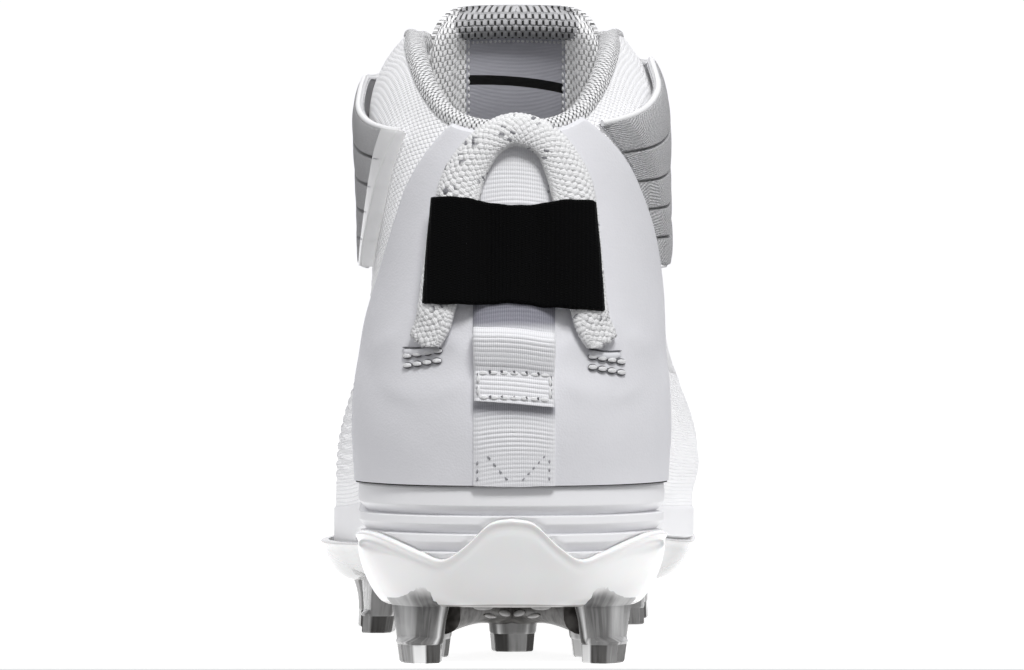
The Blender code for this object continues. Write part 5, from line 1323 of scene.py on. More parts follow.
def make_tongue():
    front, back, uv, far = tongue_skin(122, 94)
    rows, cols = front.shape[:2]
    n = rows * cols
    x, down = uv[..., 0], uv[..., 1]
    half = np.abs(x).max(axis=1, keepdims=True)
    side_far, top_far = (half - np.abs(x)) / RIM_SIDE, down / RIM_TOP
    band = ((top_far < side_far) | ((np.abs(x) < 13.0))) & (top_far < 1.02) & (np.abs(x) < 19.5)
    cell = band[:-1, :-1] & band[1:, 1:]
    heap = Heap()
    faces = faces_of(rows, cols) + faces_of(rows, cols, n, flip=True)
    index = np.r_[np.zeros(cell.size, int), cell.ravel().astype(int)].tolist()
    extra = []
    for j in range(cols - 1):
        last = (rows - 1) * cols
        extra += [[j + 1, j, n + j, n + j + 1], [last + j, last + j + 1, n + last + j + 1, n + last + j]]
    for i in range(rows - 1):
        a, b = i * cols, (i + 1) * cols
        extra += [[a, b, n + b, n + a], [b + cols - 1, a + cols - 1, n + a + cols - 1, n + b + cols - 1]]
    back_uv = uv.copy()
    heap.add(np.vstack([front.reshape(-1, 3), back.reshape(-1, 3)]), faces + extra, np.vstack([uv.reshape(-1, 2), back_uv.reshape(-1, 2)]), index + [0] * len(extra))
    obj = heap.make("tongue_pad", [FINISH["tongue"], FINISH["spacer"]], sharp=70)
    declare(obj, ["tongue"])

    # satin panel sewn inside the rim, and the bumps of its top seam
    rows2 = (down[:, 0] < 58) & (down[:, 0] > RIM_TOP - 0.6)
    wide = np.linspace(-12.6, 12.6, 40)
    grid, nrm, flat = [], [], []
    for i in np.where(rows2)[0]:
        line = np.stack([np.interp(wide, x[i], back[i, :, a]) for a in range(3)], -1)
        face = np.stack([np.interp(wide, x[i], (back - front)[i, :, a]) for a in range(3)], -1)
        face /= np.linalg.norm(face, axis=1, keepdims=True)
        grid.append(line + face * 0.28)
        nrm.append(face)
        flat.append(np.stack([wide, np.full_like(wide, down[i, 0])], -1))
    grid, nrm, flat = np.array(grid), np.array(nrm), np.array(flat)
    heap = Heap()
    two_sided(heap, grid, grid - nrm * 0.6, uv=flat)
    label = declare(heap.make("tongue_panel", [FINISH["label"]]), ["tongue"])

    heap = Heap()
    top = int(np.argmin(flat[:, 0, 1]))
    order = np.arange(len(grid))[:: 1 if top == 0 else -1]
    stitches(heap, grid[order[1]], nrm[order[1]], 1.25, 0.7, 0.55, 0.4, 0, 0.0, 0.3)
    for edge in (1, -2):
        stitches(heap, grid[order, edge], nrm[order, edge], 2.0, 0.7, 0.4, 0.3, 0, 0.0, 0.15)
    seam = declare(heap.make("tongue_panel_stitches", [FINISH["thread_white"]]), ["tongue"])
    return obj, label, seam


# ---- strap -----------------------------------------------------------------------------------------------------
def strap_points(w, run):
    """Points of the strap's inner face and its normals; w from its bottom edge to its top, run as for STRAPS."""
    bottom, top, off = (column(STRAPS, STRAP_ROW, "run", c, run) for c in ("bottom_z", "top_z", "stand_off"))
    high = ease(0.45, 0.80, np.abs(run)) * (1 - ease(0.80, 1.0, np.abs(run)))
    top, bottom = top + 6.0 * high, bottom + 2.5 * high * (run < 0)
    z = bottom + (top - bottom) * w
    end_y = np.where(run < 0, column(STRAP_END_LATS, STRAP_END_LAT, "z", "y", z), column(STRAP_END_MEDS, STRAP_END_MED, "z", "y", z))
    edge_y = column(COUNTER_EDGES, COUNTER_EDGE, "z", "med_y", z)
    end_y = np.where(run > 0, end_y + (np.minimum(end_y, edge_y - 2.5) - end_y) * (1 - 0.75 * ease(108, 124, z)), end_y)
    top_y = np.interp(z, RIDGE_LINE[:, 1], RIDGE_LINE[:, 0])
    share = np.maximum(np.abs(run), 0.006)
    y = top_y - (top_y - end_y) * share**2
    pts, n = place(y, z, np.where(run < 0, -1.0, 1.0), 0.0)
    mid = np.abs(run) < 0.006
    pts[..., 0] = np.where(mid, station("ridge_x", y), pts[..., 0])
    near = np.clip(np.abs(run) / 0.03, 0, 1)
    n[..., 0] *= near
    n /= np.linalg.norm(n, axis=-1, keepdims=True)
    off = off * (1 - 0.85 * (1 - ease(-1.0, 7.0, y - edge_y)) * (run > 0))
    return pts + n * off[..., None], n


STRAP_COUNT = (24, 160)
STRAP_TABLE = np.concatenate(strap_points(*np.meshgrid(np.linspace(0, 1, STRAP_COUNT[0] + 1), np.linspace(-1, 1, STRAP_COUNT[1] + 1), indexing="ij")), -1)


def strap_surface(rows, cols, low=0.0, high=1.0, runs=(-1.0, 1.0)):
    """Grid of the strap's inner face, its normals, and w and run there."""
    w, run = np.meshgrid(np.linspace(low, high, rows), np.linspace(*runs, cols), indexing="ij")
    got = read_table(STRAP_TABLE, w * STRAP_COUNT[0], (run + 1) / 2 * STRAP_COUNT[1])
    return got[..., :3], got[..., 3:] / np.linalg.norm(got[..., 3:], axis=-1, keepdims=True), w, run


def make_strap():
    rows, cols = 86, 196
    base, n, w, run = strap_surface(rows, cols)
    u, v = run_of(base, 1), run_of(base, 0)
    tall = v[-1:]
    far = np.minimum(np.minimum(v, tall - v), np.minimum(u, u[:, -1:] - u))
    crown = np.sqrt(np.clip(1 - (1 - np.clip(far / 0.8, 0, 1)) ** 2, 0, 1))
    bands = w * 5.0
    off = np.abs(bands - np.round(bands))
    inside = (np.round(bands) > 0.5) & (np.round(bands) < 4.5)
    groove = np.where(inside, np.clip(1 - off / (0.42 / (tall / 5.0)), 0, 1), 0.0)
    bulge = np.sqrt(np.clip(1 - (2 * np.abs(bands - np.floor(bands) - 0.5)) ** 2, 0, 1))
    thick = 0.5 + (STRAP - 0.5) * (0.3 + 0.7 * crown) + 0.35 * bulge - 1.15 * groove**0.7
    edge_y = column(COUNTER_EDGES, COUNTER_EDGE, "z", "med_y", base[..., 2])
    thick = thick * (1 - 0.72 * (1 - ease(-1.0, 4.0, base[..., 1] - edge_y)) * (run > 0))
    thick = thick + 0.08 * ripple(u / 9.0 + v / 17.0, 5)
    outer = base + n * thick[..., None]
    heap = Heap()
    two_sided(heap, outer, base, tone=groove)
    strap = heap.make("strap_elastic", [FINISH["strap"]], sharp=50)
    declare(strap, ["ankle_strap"])

    # dark cords laid in the grooves: painted shade in the grooves
    heap = Heap()
    for k in range(1, 5):
        row = int(round(k * (rows - 1) / 5.0))
        line = base[row] + n[row] * 0.62
        _, across, outward = frame_along(line, n[row])
        tube(heap, line[9:-2], across[9:-2], outward[9:-2], 0.42, 0.2, 6)
    lines = declare(heap.make("strap_groove_shade_lines", [FINISH["groove"]]), ["ankle_strap"])

    # piping along the top edge and bottom edge
    heap = Heap()
    for row, lift in ((-1, 1.35), (0, 1.0)):
        line = base[row] + n[row] * lift
        _, across, outward = frame_along(line, n[row])
        grow = 0.8 if row == -1 else 0.5
        tube(heap, line, across, outward, grow, grow * 1.15, 10)
    piping = declare(heap.make("strap_piping", [FINISH["piping"]]), ["ankle_strap"])

    # stiff see-through strip over the free end, with its raised outer lip
    tip, tn, tw, _ = strap_surface(70, 30, 0.0, 1.0, (-1.0, -0.982))
    u, v = run_of(tip, 1), run_of(tip, 0)
    grow = np.linspace(1.0, 0.0, 30)
    step = tip[:, 1] - tip[:, 0]
    step /= np.linalg.norm(step, axis=1, keepdims=True)
    tip = tip - step[:, None] * (1.2 * grow)[None, :, None]
    lip = np.exp(-(((np.arange(30) - 2.0) / 1.5) ** 2))[None]
    lift = STRAP + 0.35 + 0.5 * lip + 0.8 * grow[None] * np.sin(np.pi * np.clip(v / v[-1:], 0, 1)) ** 0.5
    heap = Heap()
    two_sided(heap, tip + tn * lift[..., None], tip - tn * 0.25)
    end = declare(heap.make("strap_end_strip", [FINISH["clear_end"]]), ["ankle_strap"])

    # short bars where the bands stop under the strip
    heap = Heap()
    for k in range(1, 5):
        row = int(round(k * 69 / 5.0))
        line = tip[row, 8:26] + tn[row, 8:26] * (STRAP + 0.62)
        _, across, outward = frame_along(line, tn[row, 8:26])
        tube(heap, line, across, outward, 0.13, 0.1, 6)
    bars = declare(heap.make("strap_end_bars", [FINISH["thread_grey"]]), ["ankle_strap"])
    return strap, lines, piping, end, bars


# ---- webbing, tab, cord and grip band on the back of the heel -------------------------------------------------
def back_grid(xs, zs, out, shear=0.0):
    """Grid over the heel's back: rows up, columns across; out is the height off the last, shaped like the grid."""
    x, z = np.meshgrid(xs, zs)
    pts, n = on_back(x + 0.5, z + shear * x, 0.0)
    return pts + n * np.asarray(out)[..., None] * np.ones(x.shape)[..., None], n, x, z


def make_webbing():
    base = COUNTER + 1.6 * GAP
    zs = np.linspace(WEB_BOTTOM - 0.6, WEB_TOP, 470)
    xs = np.linspace(-WEB_HALF, WEB_HALF, 24) * 0.945
    x, z = np.meshgrid(xs, zs)
    skew = 0.05 * x * np.sin(z / 9.0)
    rib = np.abs(np.sin(np.pi * (z + 0.012 * x**2 + skew) / 1.06)) ** 0.7
    edge = np.sqrt(np.clip(1 - (np.clip(np.abs(x) / (WEB_HALF * 0.945), 0, 1)) ** 14, 0, 1))
    strong = 0.15 + 0.12 * np.clip(ripple(z / 2.9, 8), -0.6, 1.0)
    lift = base + (WEB_THICK - 0.1) * (0.45 + 0.55 * edge) + strong * (rib - 0.5) * edge
    lift = lift + 0.12 * np.sin(z / 7.0) * np.sin(x / 4.0)
    outer, n, _, _ = back_grid(xs, zs, lift)
    inner, _, _, _ = back_grid(xs, zs, np.full(x.shape, base - 0.5))
    heap = Heap()
    uv = np.stack([x, z], -1)
    # painted shadow on the webbing below the grip band and below the tab's foot, carried by the tone attribute
    shadow = 0.95 * ease(80.5, 84.0, z) * (1 - ease(100, 106, z)) + 0.72 * np.exp(-(((z + 0.04 * x - 63.0) / 1.9) ** 2))
    two_sided(heap, outer, inner, uv=uv, tone=shadow)
    web = declare(heap.make("heel_webbing_ribbed", [FINISH["web"]], sharp=60), ["heel_webbing"])

    heap = Heap()
    up = base + WEB_THICK - 0.05
    for x0, z0, x1, z1, pitch in (
        (-7.8, 115.0, -7.6, 126.0, 1.5), (8.3, 115.0, 8.5, 126.0, 1.5), (-7.9, 45.2, -7.9, 51.0, 1.9), (8.5, 45.2, 8.5, 51.4, 1.9),
        (-5.9, 52.2, -0.6, 45.6, 2.0), (7.9, 52.2, 2.0, 45.6, 2.0),
    ):
        s = np.linspace(0, 1, 40)
        line, nn = on_back(x0 + (x1 - x0) * s, z0 + (z1 - z0) * s, up)
        stitches(heap, line, nn, pitch, 0.46, 0.30, 0.2, 0, 0.0, 0.1)
    sewn = declare(heap.make("heel_webbing_stitches", [FINISH["thread_grey"]]), ["heel_webbing"])
    return web, sewn


def make_tab():
    """Folded webbing: flat and sewn at its foot, swelling into a loop whose fold is at the top."""
    base = COUNTER + 2.2 * GAP + WEB_THICK
    rows, cols = 170, 60
    side, low, high = TAB_HALF * 0.87, TAB_BOTTOM - 1.0, TAB_TOP - 3.3
    xs = np.linspace(-side, side, cols)
    zs = np.linspace(low, high, rows)
    x, z = np.meshgrid(xs, zs)
    share = (z - low) / (high - low)
    swell = ease(0.30, 0.92, share)
    fold = np.sqrt(np.clip(1 - np.clip((share - 0.80) / 0.20, 0, 1) ** 2, 0, 1))
    rib = np.abs(np.sin(np.pi * z / 1.06)) ** 0.7
    wavy = 0.10 * np.sin(x / 2.3 + share * 2.0) * swell * (1 - 0.5 * share)
    edge = np.sqrt(np.clip(1 - np.clip(np.abs(x) / side, 0, 1) ** 16, 0, 1))
    thick = 1.7 + 3.0 * swell * (0.30 + 0.70 * fold) + wavy
    dents = -0.45 * np.exp(-((z - (low + 7.2)) / 1.3) ** 2)
    lift = base + thick * (0.6 + 0.4 * edge) + 0.18 * (rib - 0.5) * edge * (1 - 0.85 * swell * (1 - ease(0.62, 0.72, share))) + dents
    outer, n, _, _ = back_grid(xs, zs, lift, -0.085)
    inner, _, _, _ = back_grid(xs, zs, base - 0.3 + 2.2 * swell * ease(0.6, 1.0, share) * 0.6, -0.085)
    heap = Heap()
    two_sided(heap, outer, inner, uv=np.stack([x, z], -1))
    tab = declare(heap.make("heel_tab_fold", [FINISH["web"]], sharp=60), ["heel_tab"])

    heap = Heap()

    def on_tab(xx, zz, up):
        xx, zz = np.broadcast_arrays(np.asarray(xx, float), np.asarray(zz, float))
        s = (zz - low) / (high - low)
        sw = ease(0.30, 0.92, s)
        out = base + 1.7 + 3.0 * sw * 0.9 + up - 0.45 * np.exp(-((zz - (low + 7.2)) / 1.3) ** 2)
        return on_back(xx + 0.5, zz - 0.04 * xx, out)

    # needle holes as small dark tubes: painted shade in the holes
    holes = Heap()
    s = np.linspace(0, 1, 50)
    for a, b, pitch, wide, tall in (
        ((-7.9, 70.9), (7.9, 70.9), 2.64, 0.62, 0.5), ((-7.7, 65.2), (7.7, 65.2), 2.58, 0.7, 0.3),
        ((-7.8, 65.3), (-7.8, 70.9), 2.8, 0.5, 0.0), ((7.8, 65.3), (7.8, 70.9), 2.8, 0.5, 0.0),
    ):
        line, nn = on_tab(a[0] + (b[0] - a[0]) * s, a[1] + (b[1] - a[1]) * s, 0.1)
        stitches(heap, line, nn, pitch, 0.86, wide, 0.3, 0, 0.0, 0.1)
        length = math.hypot(b[0] - a[0], b[1] - a[1])
        count = int(round(length / pitch))
        for i in range(1, count):
            f = i / count
            x0, z0 = a[0] + (b[0] - a[0]) * f, a[1] + (b[1] - a[1]) * f
            if tall:
                hl, hn = on_tab(np.array([x0 + 0.12, x0 - 0.12]), np.array([z0 - 0.1, z0 + tall + 0.1]), 0.22)
                _, ha, hu = frame_along(hl, hn)
                tube(holes, hl, ha, hu, 0.28, 0.24, 8)
        if not tall:
            for f0, f1 in ((0.08, 0.42), (0.58, 0.98)):
                t = f0 + (f1 - f0) * np.linspace(0, 1, 8)
                hl, hn = on_tab(a[0] + 0 * t + 0.25 * np.sign(a[0]), a[1] + (b[1] - a[1]) * t, 0.12)
                _, ha, hu = frame_along(hl, hn)
                tube(holes, hl, ha, hu, 0.13, 0.16, 6)
    sewn = declare(heap.make("heel_tab_box_stitch", [FINISH["thread_white"]]), ["heel_tab"])
    declare(holes.make("heel_tab_needle_holes", [FINISH["shade"]]), ["heel_tab"])
    return tab, sewn


def cord_run(count):
    """Centre, across and outward of the pull cord at even steps along it, its feet dipping into their slots."""
    steps = np.linspace(0, len(CORDS) - 1, 400)
    rows = [(i, *r) for i, r in enumerate(CORDS)]
    names = ("i", *CORD)
    x, z, off = (column(rows, names, "i", c, steps) for c in CORD)
    # the feet flatten and sink into their slots in the counter
    off = off - 1.0 * (1 - ease(79, 87, z)) - 0.5 * np.clip((79.6 - z) / 1.2, 0, 1)
    keep = z > 78.5
    x = x - 1.5 * (1 - ease(78, 85, z)) * (x < 0) + 1.9 * (1 - ease(78, 85, z)) * (x > 0)
    x = x + 1.3 * ease(104, 113, z) * (1 - ease(-12, 2, x)) + 0.6 * ease(120, 130, z)
    pts, n = seen_back(x[keep], z[keep], COUNTER + 2 * GAP + off[keep])
    run = np.r_[0, np.cumsum(np.linalg.norm(np.diff(pts, axis=0), axis=1))]
    even = np.linspace(0, run[-1], count)
    pts = np.stack([np.interp(even, run, pts[:, a]) for a in range(3)], -1)
    n = np.stack([np.interp(even, run, n[:, a]) for a in range(3)], -1)
    n /= np.linalg.norm(n, axis=1, keepdims=True)
    along = np.gradient(pts, axis=0)
    along -= n * (along * n).sum(1, keepdims=True)
    along /= np.linalg.norm(along, axis=1, keepdims=True)
    return pts, np.cross(along, n), n, even


def make_cord():
    """Braid of fourteen strands each way round an oval, each going over one and under one."""
    count, strands = 400, 14
    centre, across, outward, run = cord_run(count)
    a, b = CORD_WIDE / 2 + 0.4, CORD_THICK / 2 - 0.35
    z = centre[:, 2]
    low_b = b * (1 - 0.42 * (1 - ease(79, 88, z)))
    slim = 1 - 0.31 * ease(116.0, 131.0, z) - 0.13 * (1 - ease(84.0, 96.0, z)) - 0.07 * (1 - ease(78.0, 84.0, z))
    around_length = math.pi * (3 * (a + b) - math.sqrt((3 * a + b) * (a + 3 * b)))
    k = 2 * math.pi / (around_length * 1.04)
    hold = 0.30
    heap = Heap()
    sides = 6
    turn = np.linspace(0, 2 * math.pi, sides, endpoint=False)
    seed = np.random.RandomState(7)
    for way in (1, -1):
        for i in range(strands):
            phi = 2 * math.pi * i / strands + way * k * run
            # even spacing round the oval rather than even angle
            even = phi - 0.5 * (a - b) / (a + b) * 0.75 * np.sin(2 * phi)
            c, s = np.cos(even), np.sin(even)
            normal = across * (c / a)[:, None] + outward * (s / b)[:, None]
            normal /= np.linalg.norm(normal, axis=1, keepdims=True)
            wave = np.cos(strands * k * run) * way
            lift = hold * wave
            path = centre + across * (a * slim * c)[:, None] + outward * (low_b * s)[:, None] + normal * (lift + 0.12)[:, None]
            _, wide, up = frame_along(path, normal)
            plump = 0.5 + 0.5 * wave
            hw = 0.74 + 0.22 * plump
            ht = 0.32 + 0.12 * plump
            rings = path[:, None] + wide[:, None] * (np.cos(turn)[None, :] * hw[:, None])[..., None] + up[:, None] * (np.sin(turn)[None, :] * ht[:, None])[..., None]
            rings[..., 2] = np.maximum(rings[..., 2], 78.0 - 0.3 * (rings[..., 0] > 0))
            uv = np.stack(np.broadcast_arrays(turn[None, :] / (2 * math.pi) * 3.0, run[:, None] * 1.3), -1)
            cell = np.floor(strands * k * run / (2 * math.pi) + 0.25 * (1 - way)).astype(int)
            odds = seed.rand(cell.max() - cell.min() + 2)
            marks = (odds < 0.02).astype(float)
            marks[1:] = np.maximum(marks[1:], marks[:-1] * (odds[1:] < 0.35))
            tone = np.repeat(marks[cell - cell.min()][:, None], sides, 1)
            faces = faces_of(count, sides, 0, True) + [list(range(sides))[::-1], [(count - 1) * sides + j for j in range(sides)]]
            heap.add(rings, faces, uv, 0, tone.ravel())
    braid = declare(heap.make("pull_cord_braid", [FINISH["braid"]], sharp=0), ["pull_cord"])
    heap = Heap()
    tube(heap, centre[6:-6:4], across[6:-6:4], outward[6:-6:4], (a * slim - 0.25)[6:-6:4], (low_b - 0.25)[6:-6:4], 16, 0.9)
    core = declare(heap.make("pull_cord_core", [FINISH["core"]]), ["pull_cord"])
    return braid, core


FOOT_ROWS = ("side", "x0", "z0", "x1", "z1")      # rows of bar stitches under the cord's feet
FOOT_STITCHES = [
    (-1, -25.7, 75.4, -16.1, 77.0), (-1, -25.6, 73.1, -16.3, 74.6),
    (1, 17.7, 75.6, 26.7, 74.0), (1, 17.7, 73.1, 26.7, 71.4),
]
FOOT_SLOTS = [(-1, -25.4, 77.5, -17.0, 78.2), (1, 17.8, 77.3, 25.4, 76.7)]


def make_slots():
    """Where the cord's feet go in: a cut over each foot with a fine dark edge of painted shadow, and two rows of plump
    stitches below, with painted shade round them and in their holes.
    """
    lips, bars, painted_slot_shade = Heap(), Heap(), Heap()
    out = COUNTER + GAP
    s = np.linspace(0, 1, 40)
    for _, x0, z0, x1, z1 in FOOT_SLOTS:
        xx, zz = x0 + (x1 - x0) * s, z0 + (z1 - z0) * s - 0.5 * np.sin(np.pi * s)
        body = np.sqrt(np.clip(1 - (2 * s - 1) ** 6, 0, 1))
        line, nn = on_back(xx, zz - 0.75, out + 0.12)
        _, across, up = frame_along(line, nn)
        tube(lips, line, across, up, 0.9 * body + 0.05, 0.62 * body + 0.05, 10)
        # fine dark tube over each foot: painted shadow in the cut
        line, nn = on_back(xx, zz + 0.12, out + 0.42)
        _, across, up = frame_along(line, nn)
        tube(painted_slot_shade, line, across, up, 0.26 * body + 0.03, 0.3, 6)
    for side, x0, z0, x1, z1 in FOOT_STITCHES:
        count = 4
        dx, dz = (x1 - x0) / count, (z1 - z0) / count
        for i in range(count):
            t = np.linspace(-1, 1, 18)
            bow = np.sqrt(np.clip(1 - t**2, 0, 1))
            cx, cz = x0 + dx * (i + 0.5), z0 + dz * (i + 0.5)
            lean = 0.16 * side
            lx, lz = cx + t * dx * 0.47, cz + t * (dz * 0.47 + lean)
            line, nn = on_back(lx, lz, out + 0.12)
            _, across, up = frame_along(line, nn)
            tube(bars, line + up * (0.42 * bow - 0.12)[:, None], across, up, 0.52 * bow + 0.04, 0.36 * bow + 0.04, 8)
            tube(painted_slot_shade, line - up * 0.04, across, up, 0.74 * bow + 0.1, 0.13, 8)
            if i:
                hole, hn = on_back(np.array([x0 + dx * i - 0.25, x0 + dx * i + 0.25]), np.array([z0 + dz * i] * 2), out + 0.12)
                _, ha, hu = frame_along(hole, hn)
                tube(painted_slot_shade, hole, ha, hu, 0.34, 0.2, 8)
    lips = declare(lips.make("cord_slot_lips", [FINISH["counter"]]), ["heel_counter"])
    bars = declare(bars.make("cord_bar_stitches", [FINISH["thread_white"]]), ["heel_counter"])
    painted_slot_shade = declare(painted_slot_shade.make("cord_slot_shadows", [FINISH["shade"]]), ["heel_counter"])
    return lips, bars, painted_slot_shade


def make_band():
    """Black webbing with ribs up and down, tight over both legs of the cord and sewn down between them."""
    rows, cols = 84, 340
    s = np.linspace(-1, 1, cols)
    zs = np.linspace(0, 1, rows)
    S, share = np.meshgrid(s, zs)
    half = BAND_HALF_BOTTOM + (BAND_HALF_TOP - BAND_HALF_BOTTOM) * share
    z = BAND_BOTTOM + (BAND_TOP - BAND_BOTTOM) * share
    stand = COUNTER + 2 * GAP + np.interp(z, *BAND_STAND) + CORD_THICK / 2 + 0.25
    sewn = COUNTER + 2.4 * GAP + WEB_THICK
    lift = ease(0.26, 0.60, np.abs(S))
    edge_dip = 1.4 * (1 - ease(0.0, 0.75, np.abs(S))) * (2 * share - 1)
    wobble = 0.07 * np.sin(S * 23.0) * (2 * share - 1)
    rib = np.abs(np.sin(np.pi * S * half / 0.84)) ** 0.7
    run_z = z - BAND_BOTTOM
    far = np.minimum(np.minimum(run_z, (BAND_TOP - BAND_BOTTOM) - run_z), half * (1 - np.abs(S)))
    crown = np.sqrt(np.clip(1 - (1 - np.clip(far / 0.8, 0, 1)) ** 2, 0, 1))
    over = ease(0.88, 1.0, np.abs(S))
    sag = 0.35 * np.sin(share * np.pi) * (1 - lift)
    puff = 0.25 * np.exp(-((np.abs(S) - 0.76) / 0.16) ** 2)
    base = sewn + (stand - sewn) * lift - 1.5 * over**2 - sag + puff
    column_dip = 0.35 * (np.exp(-((S * half - 8.3) / 0.6) ** 2) + np.exp(-((S * half + 8.0) / 0.6) ** 2))
    thick = (BAND_THICK - 0.15) * (0.3 + 0.7 * crown) + 0.20 * (rib - 0.5) * crown - column_dip * 0.6
    thick = thick + 0.05 * ripple(z / 3.1 + S * 9.0, 6)
    fall = 0.9 + 0.6 * (1 - share) + (0.030 + 0.014 * (1 - share)) * S * half
    pts, n = on_back(0.4 + S * half, z - edge_dip + wobble - fall, 0.0)
    outer = pts + n * (base + thick)[..., None]
    inner = pts + n * (base - 0.25)[..., None]
    heap = Heap()
    uv = np.stack([S * half, z], -1)
    two_sided(heap, outer, inner, uv=uv)
    band = declare(heap.make("pull_band_webbing", [FINISH["band"]], sharp=60), ["pull_band"])
    return band


# ---- midsole, plate and studs ----------------------------------------------------------------------------------
class Round:
    """The foot's edge as a closed loop, with the sole's sizes along it; loops are asked for by offset and height."""

    def __init__(self, count):
        self.q = q = around(count)
        self.count = count
        self.base = upper_point(q, np.zeros_like(q))
        q2 = np.clip(np.abs(q), 0.004, 0.996)
        yz = side_view(fine(q2), np.zeros_like(q))
        _, n = place(yz[:, 0], yz[:, 1], np.where(q < 0, -1.0, 1.0))
        flat = n[:, :2] / np.linalg.norm(n[:, :2], axis=1, keepdims=True)
        flat[np.abs(q) < 0.004] = (0, -1)
        flat[np.abs(q) > 0.996] = (0, 1)
        self.flat = flat
        self.x, self.y = self.base[:, 0], self.base[:, 1]
        self.med = ease(-10, 10, self.x - station("ridge_x", self.y))
        self.feather, self.bed, self.bottom = (sole(c, self.y) for c in ("feather", "footbed", "bottom"))
        self.bulge, self.tuck, plain = (sole(c + "lat", self.y) * (1 - self.med) + sole(c + "med", self.y) * self.med for c in ("bulge_", "tuck_", "rim_"))
        crown = column(CROWNS, CROWN, "x", "lift", np.abs(self.x))
        self.rim = plain + crown * (1 - ease(26, 44, self.y))
        self.run = np.r_[0, np.cumsum(np.linalg.norm(np.diff(self.base, axis=0), axis=1))]

    def ring(self, offset, z):
        out = self.base.copy()
        out[:, :2] += self.flat * np.broadcast_to(np.asarray(offset, float), (self.count,))[:, None]
        out[:, 2] = z
        return out

    def plate(self, share):
        """How far the plate stands out, share of the way from its bottom to its rim."""
        heel = 1 - ease(30, 70, self.y)
        full, lean = rounding(share, 1.7), rounding(share, 1.42)
        return -self.tuck + (self.bulge + self.tuck) * (full + (lean - full) * heel)


def tray_piece(name, loop, outer, inner, mats, index_of, cols=15, sag=None, tones=None):
    """Closed tray: outer loops from rim to bottom, inner loops from rim to floor, both ends filled across the foot."""
    count = loop.count
    heap = Heap()
    rings = np.array([*outer[::-1], *inner])
    uv = np.stack(np.broadcast_arrays(loop.run[None], rings[..., 2]), -1)
    heap.add(rings, faces_of(len(rings), count, 0, True), uv, [i for r in range(len(rings) - 1) for i in [index_of(r, len(outer))] * count],
             0.0 if tones is None else np.vstack([np.array(tones)[::-1], np.zeros((len(rings) - len(tones), count))]).ravel())
    half = count // 2
    for ring, which in ((outer[-1], 2), (inner[-1], 3)):
        a = ring[: half + 1]
        b = ring[(-np.arange(half + 1)) % count]
        s = np.linspace(0, 1, cols)[None, :, None]
        grid = a[:, None] * (1 - s) + b[:, None] * s
        if sag is not None and which == 2:
            grid[..., 2] += sag(grid)
        heap.add(grid, faces_of(half + 1, cols), np.stack([grid[..., 0], grid[..., 1]], -1), index_of(-1, which))
    return heap.make(name, mats, weld=True, sharp=50)


GROOVE = ("drop", "lat_rise_from", "lat_rise", "lat_end", "med_end")   # ribs round the heel: depth of each groove's
GROOVES = [                                                            # line under the feather edge and where it ends
    (7.1, 26.0, 3.6, 70.0, 92.0),
    (11.6, 60.0, 2.6, 128.0, 96.0),
    (16.0, 80.0, 1.5, 120.0, 90.0),
]


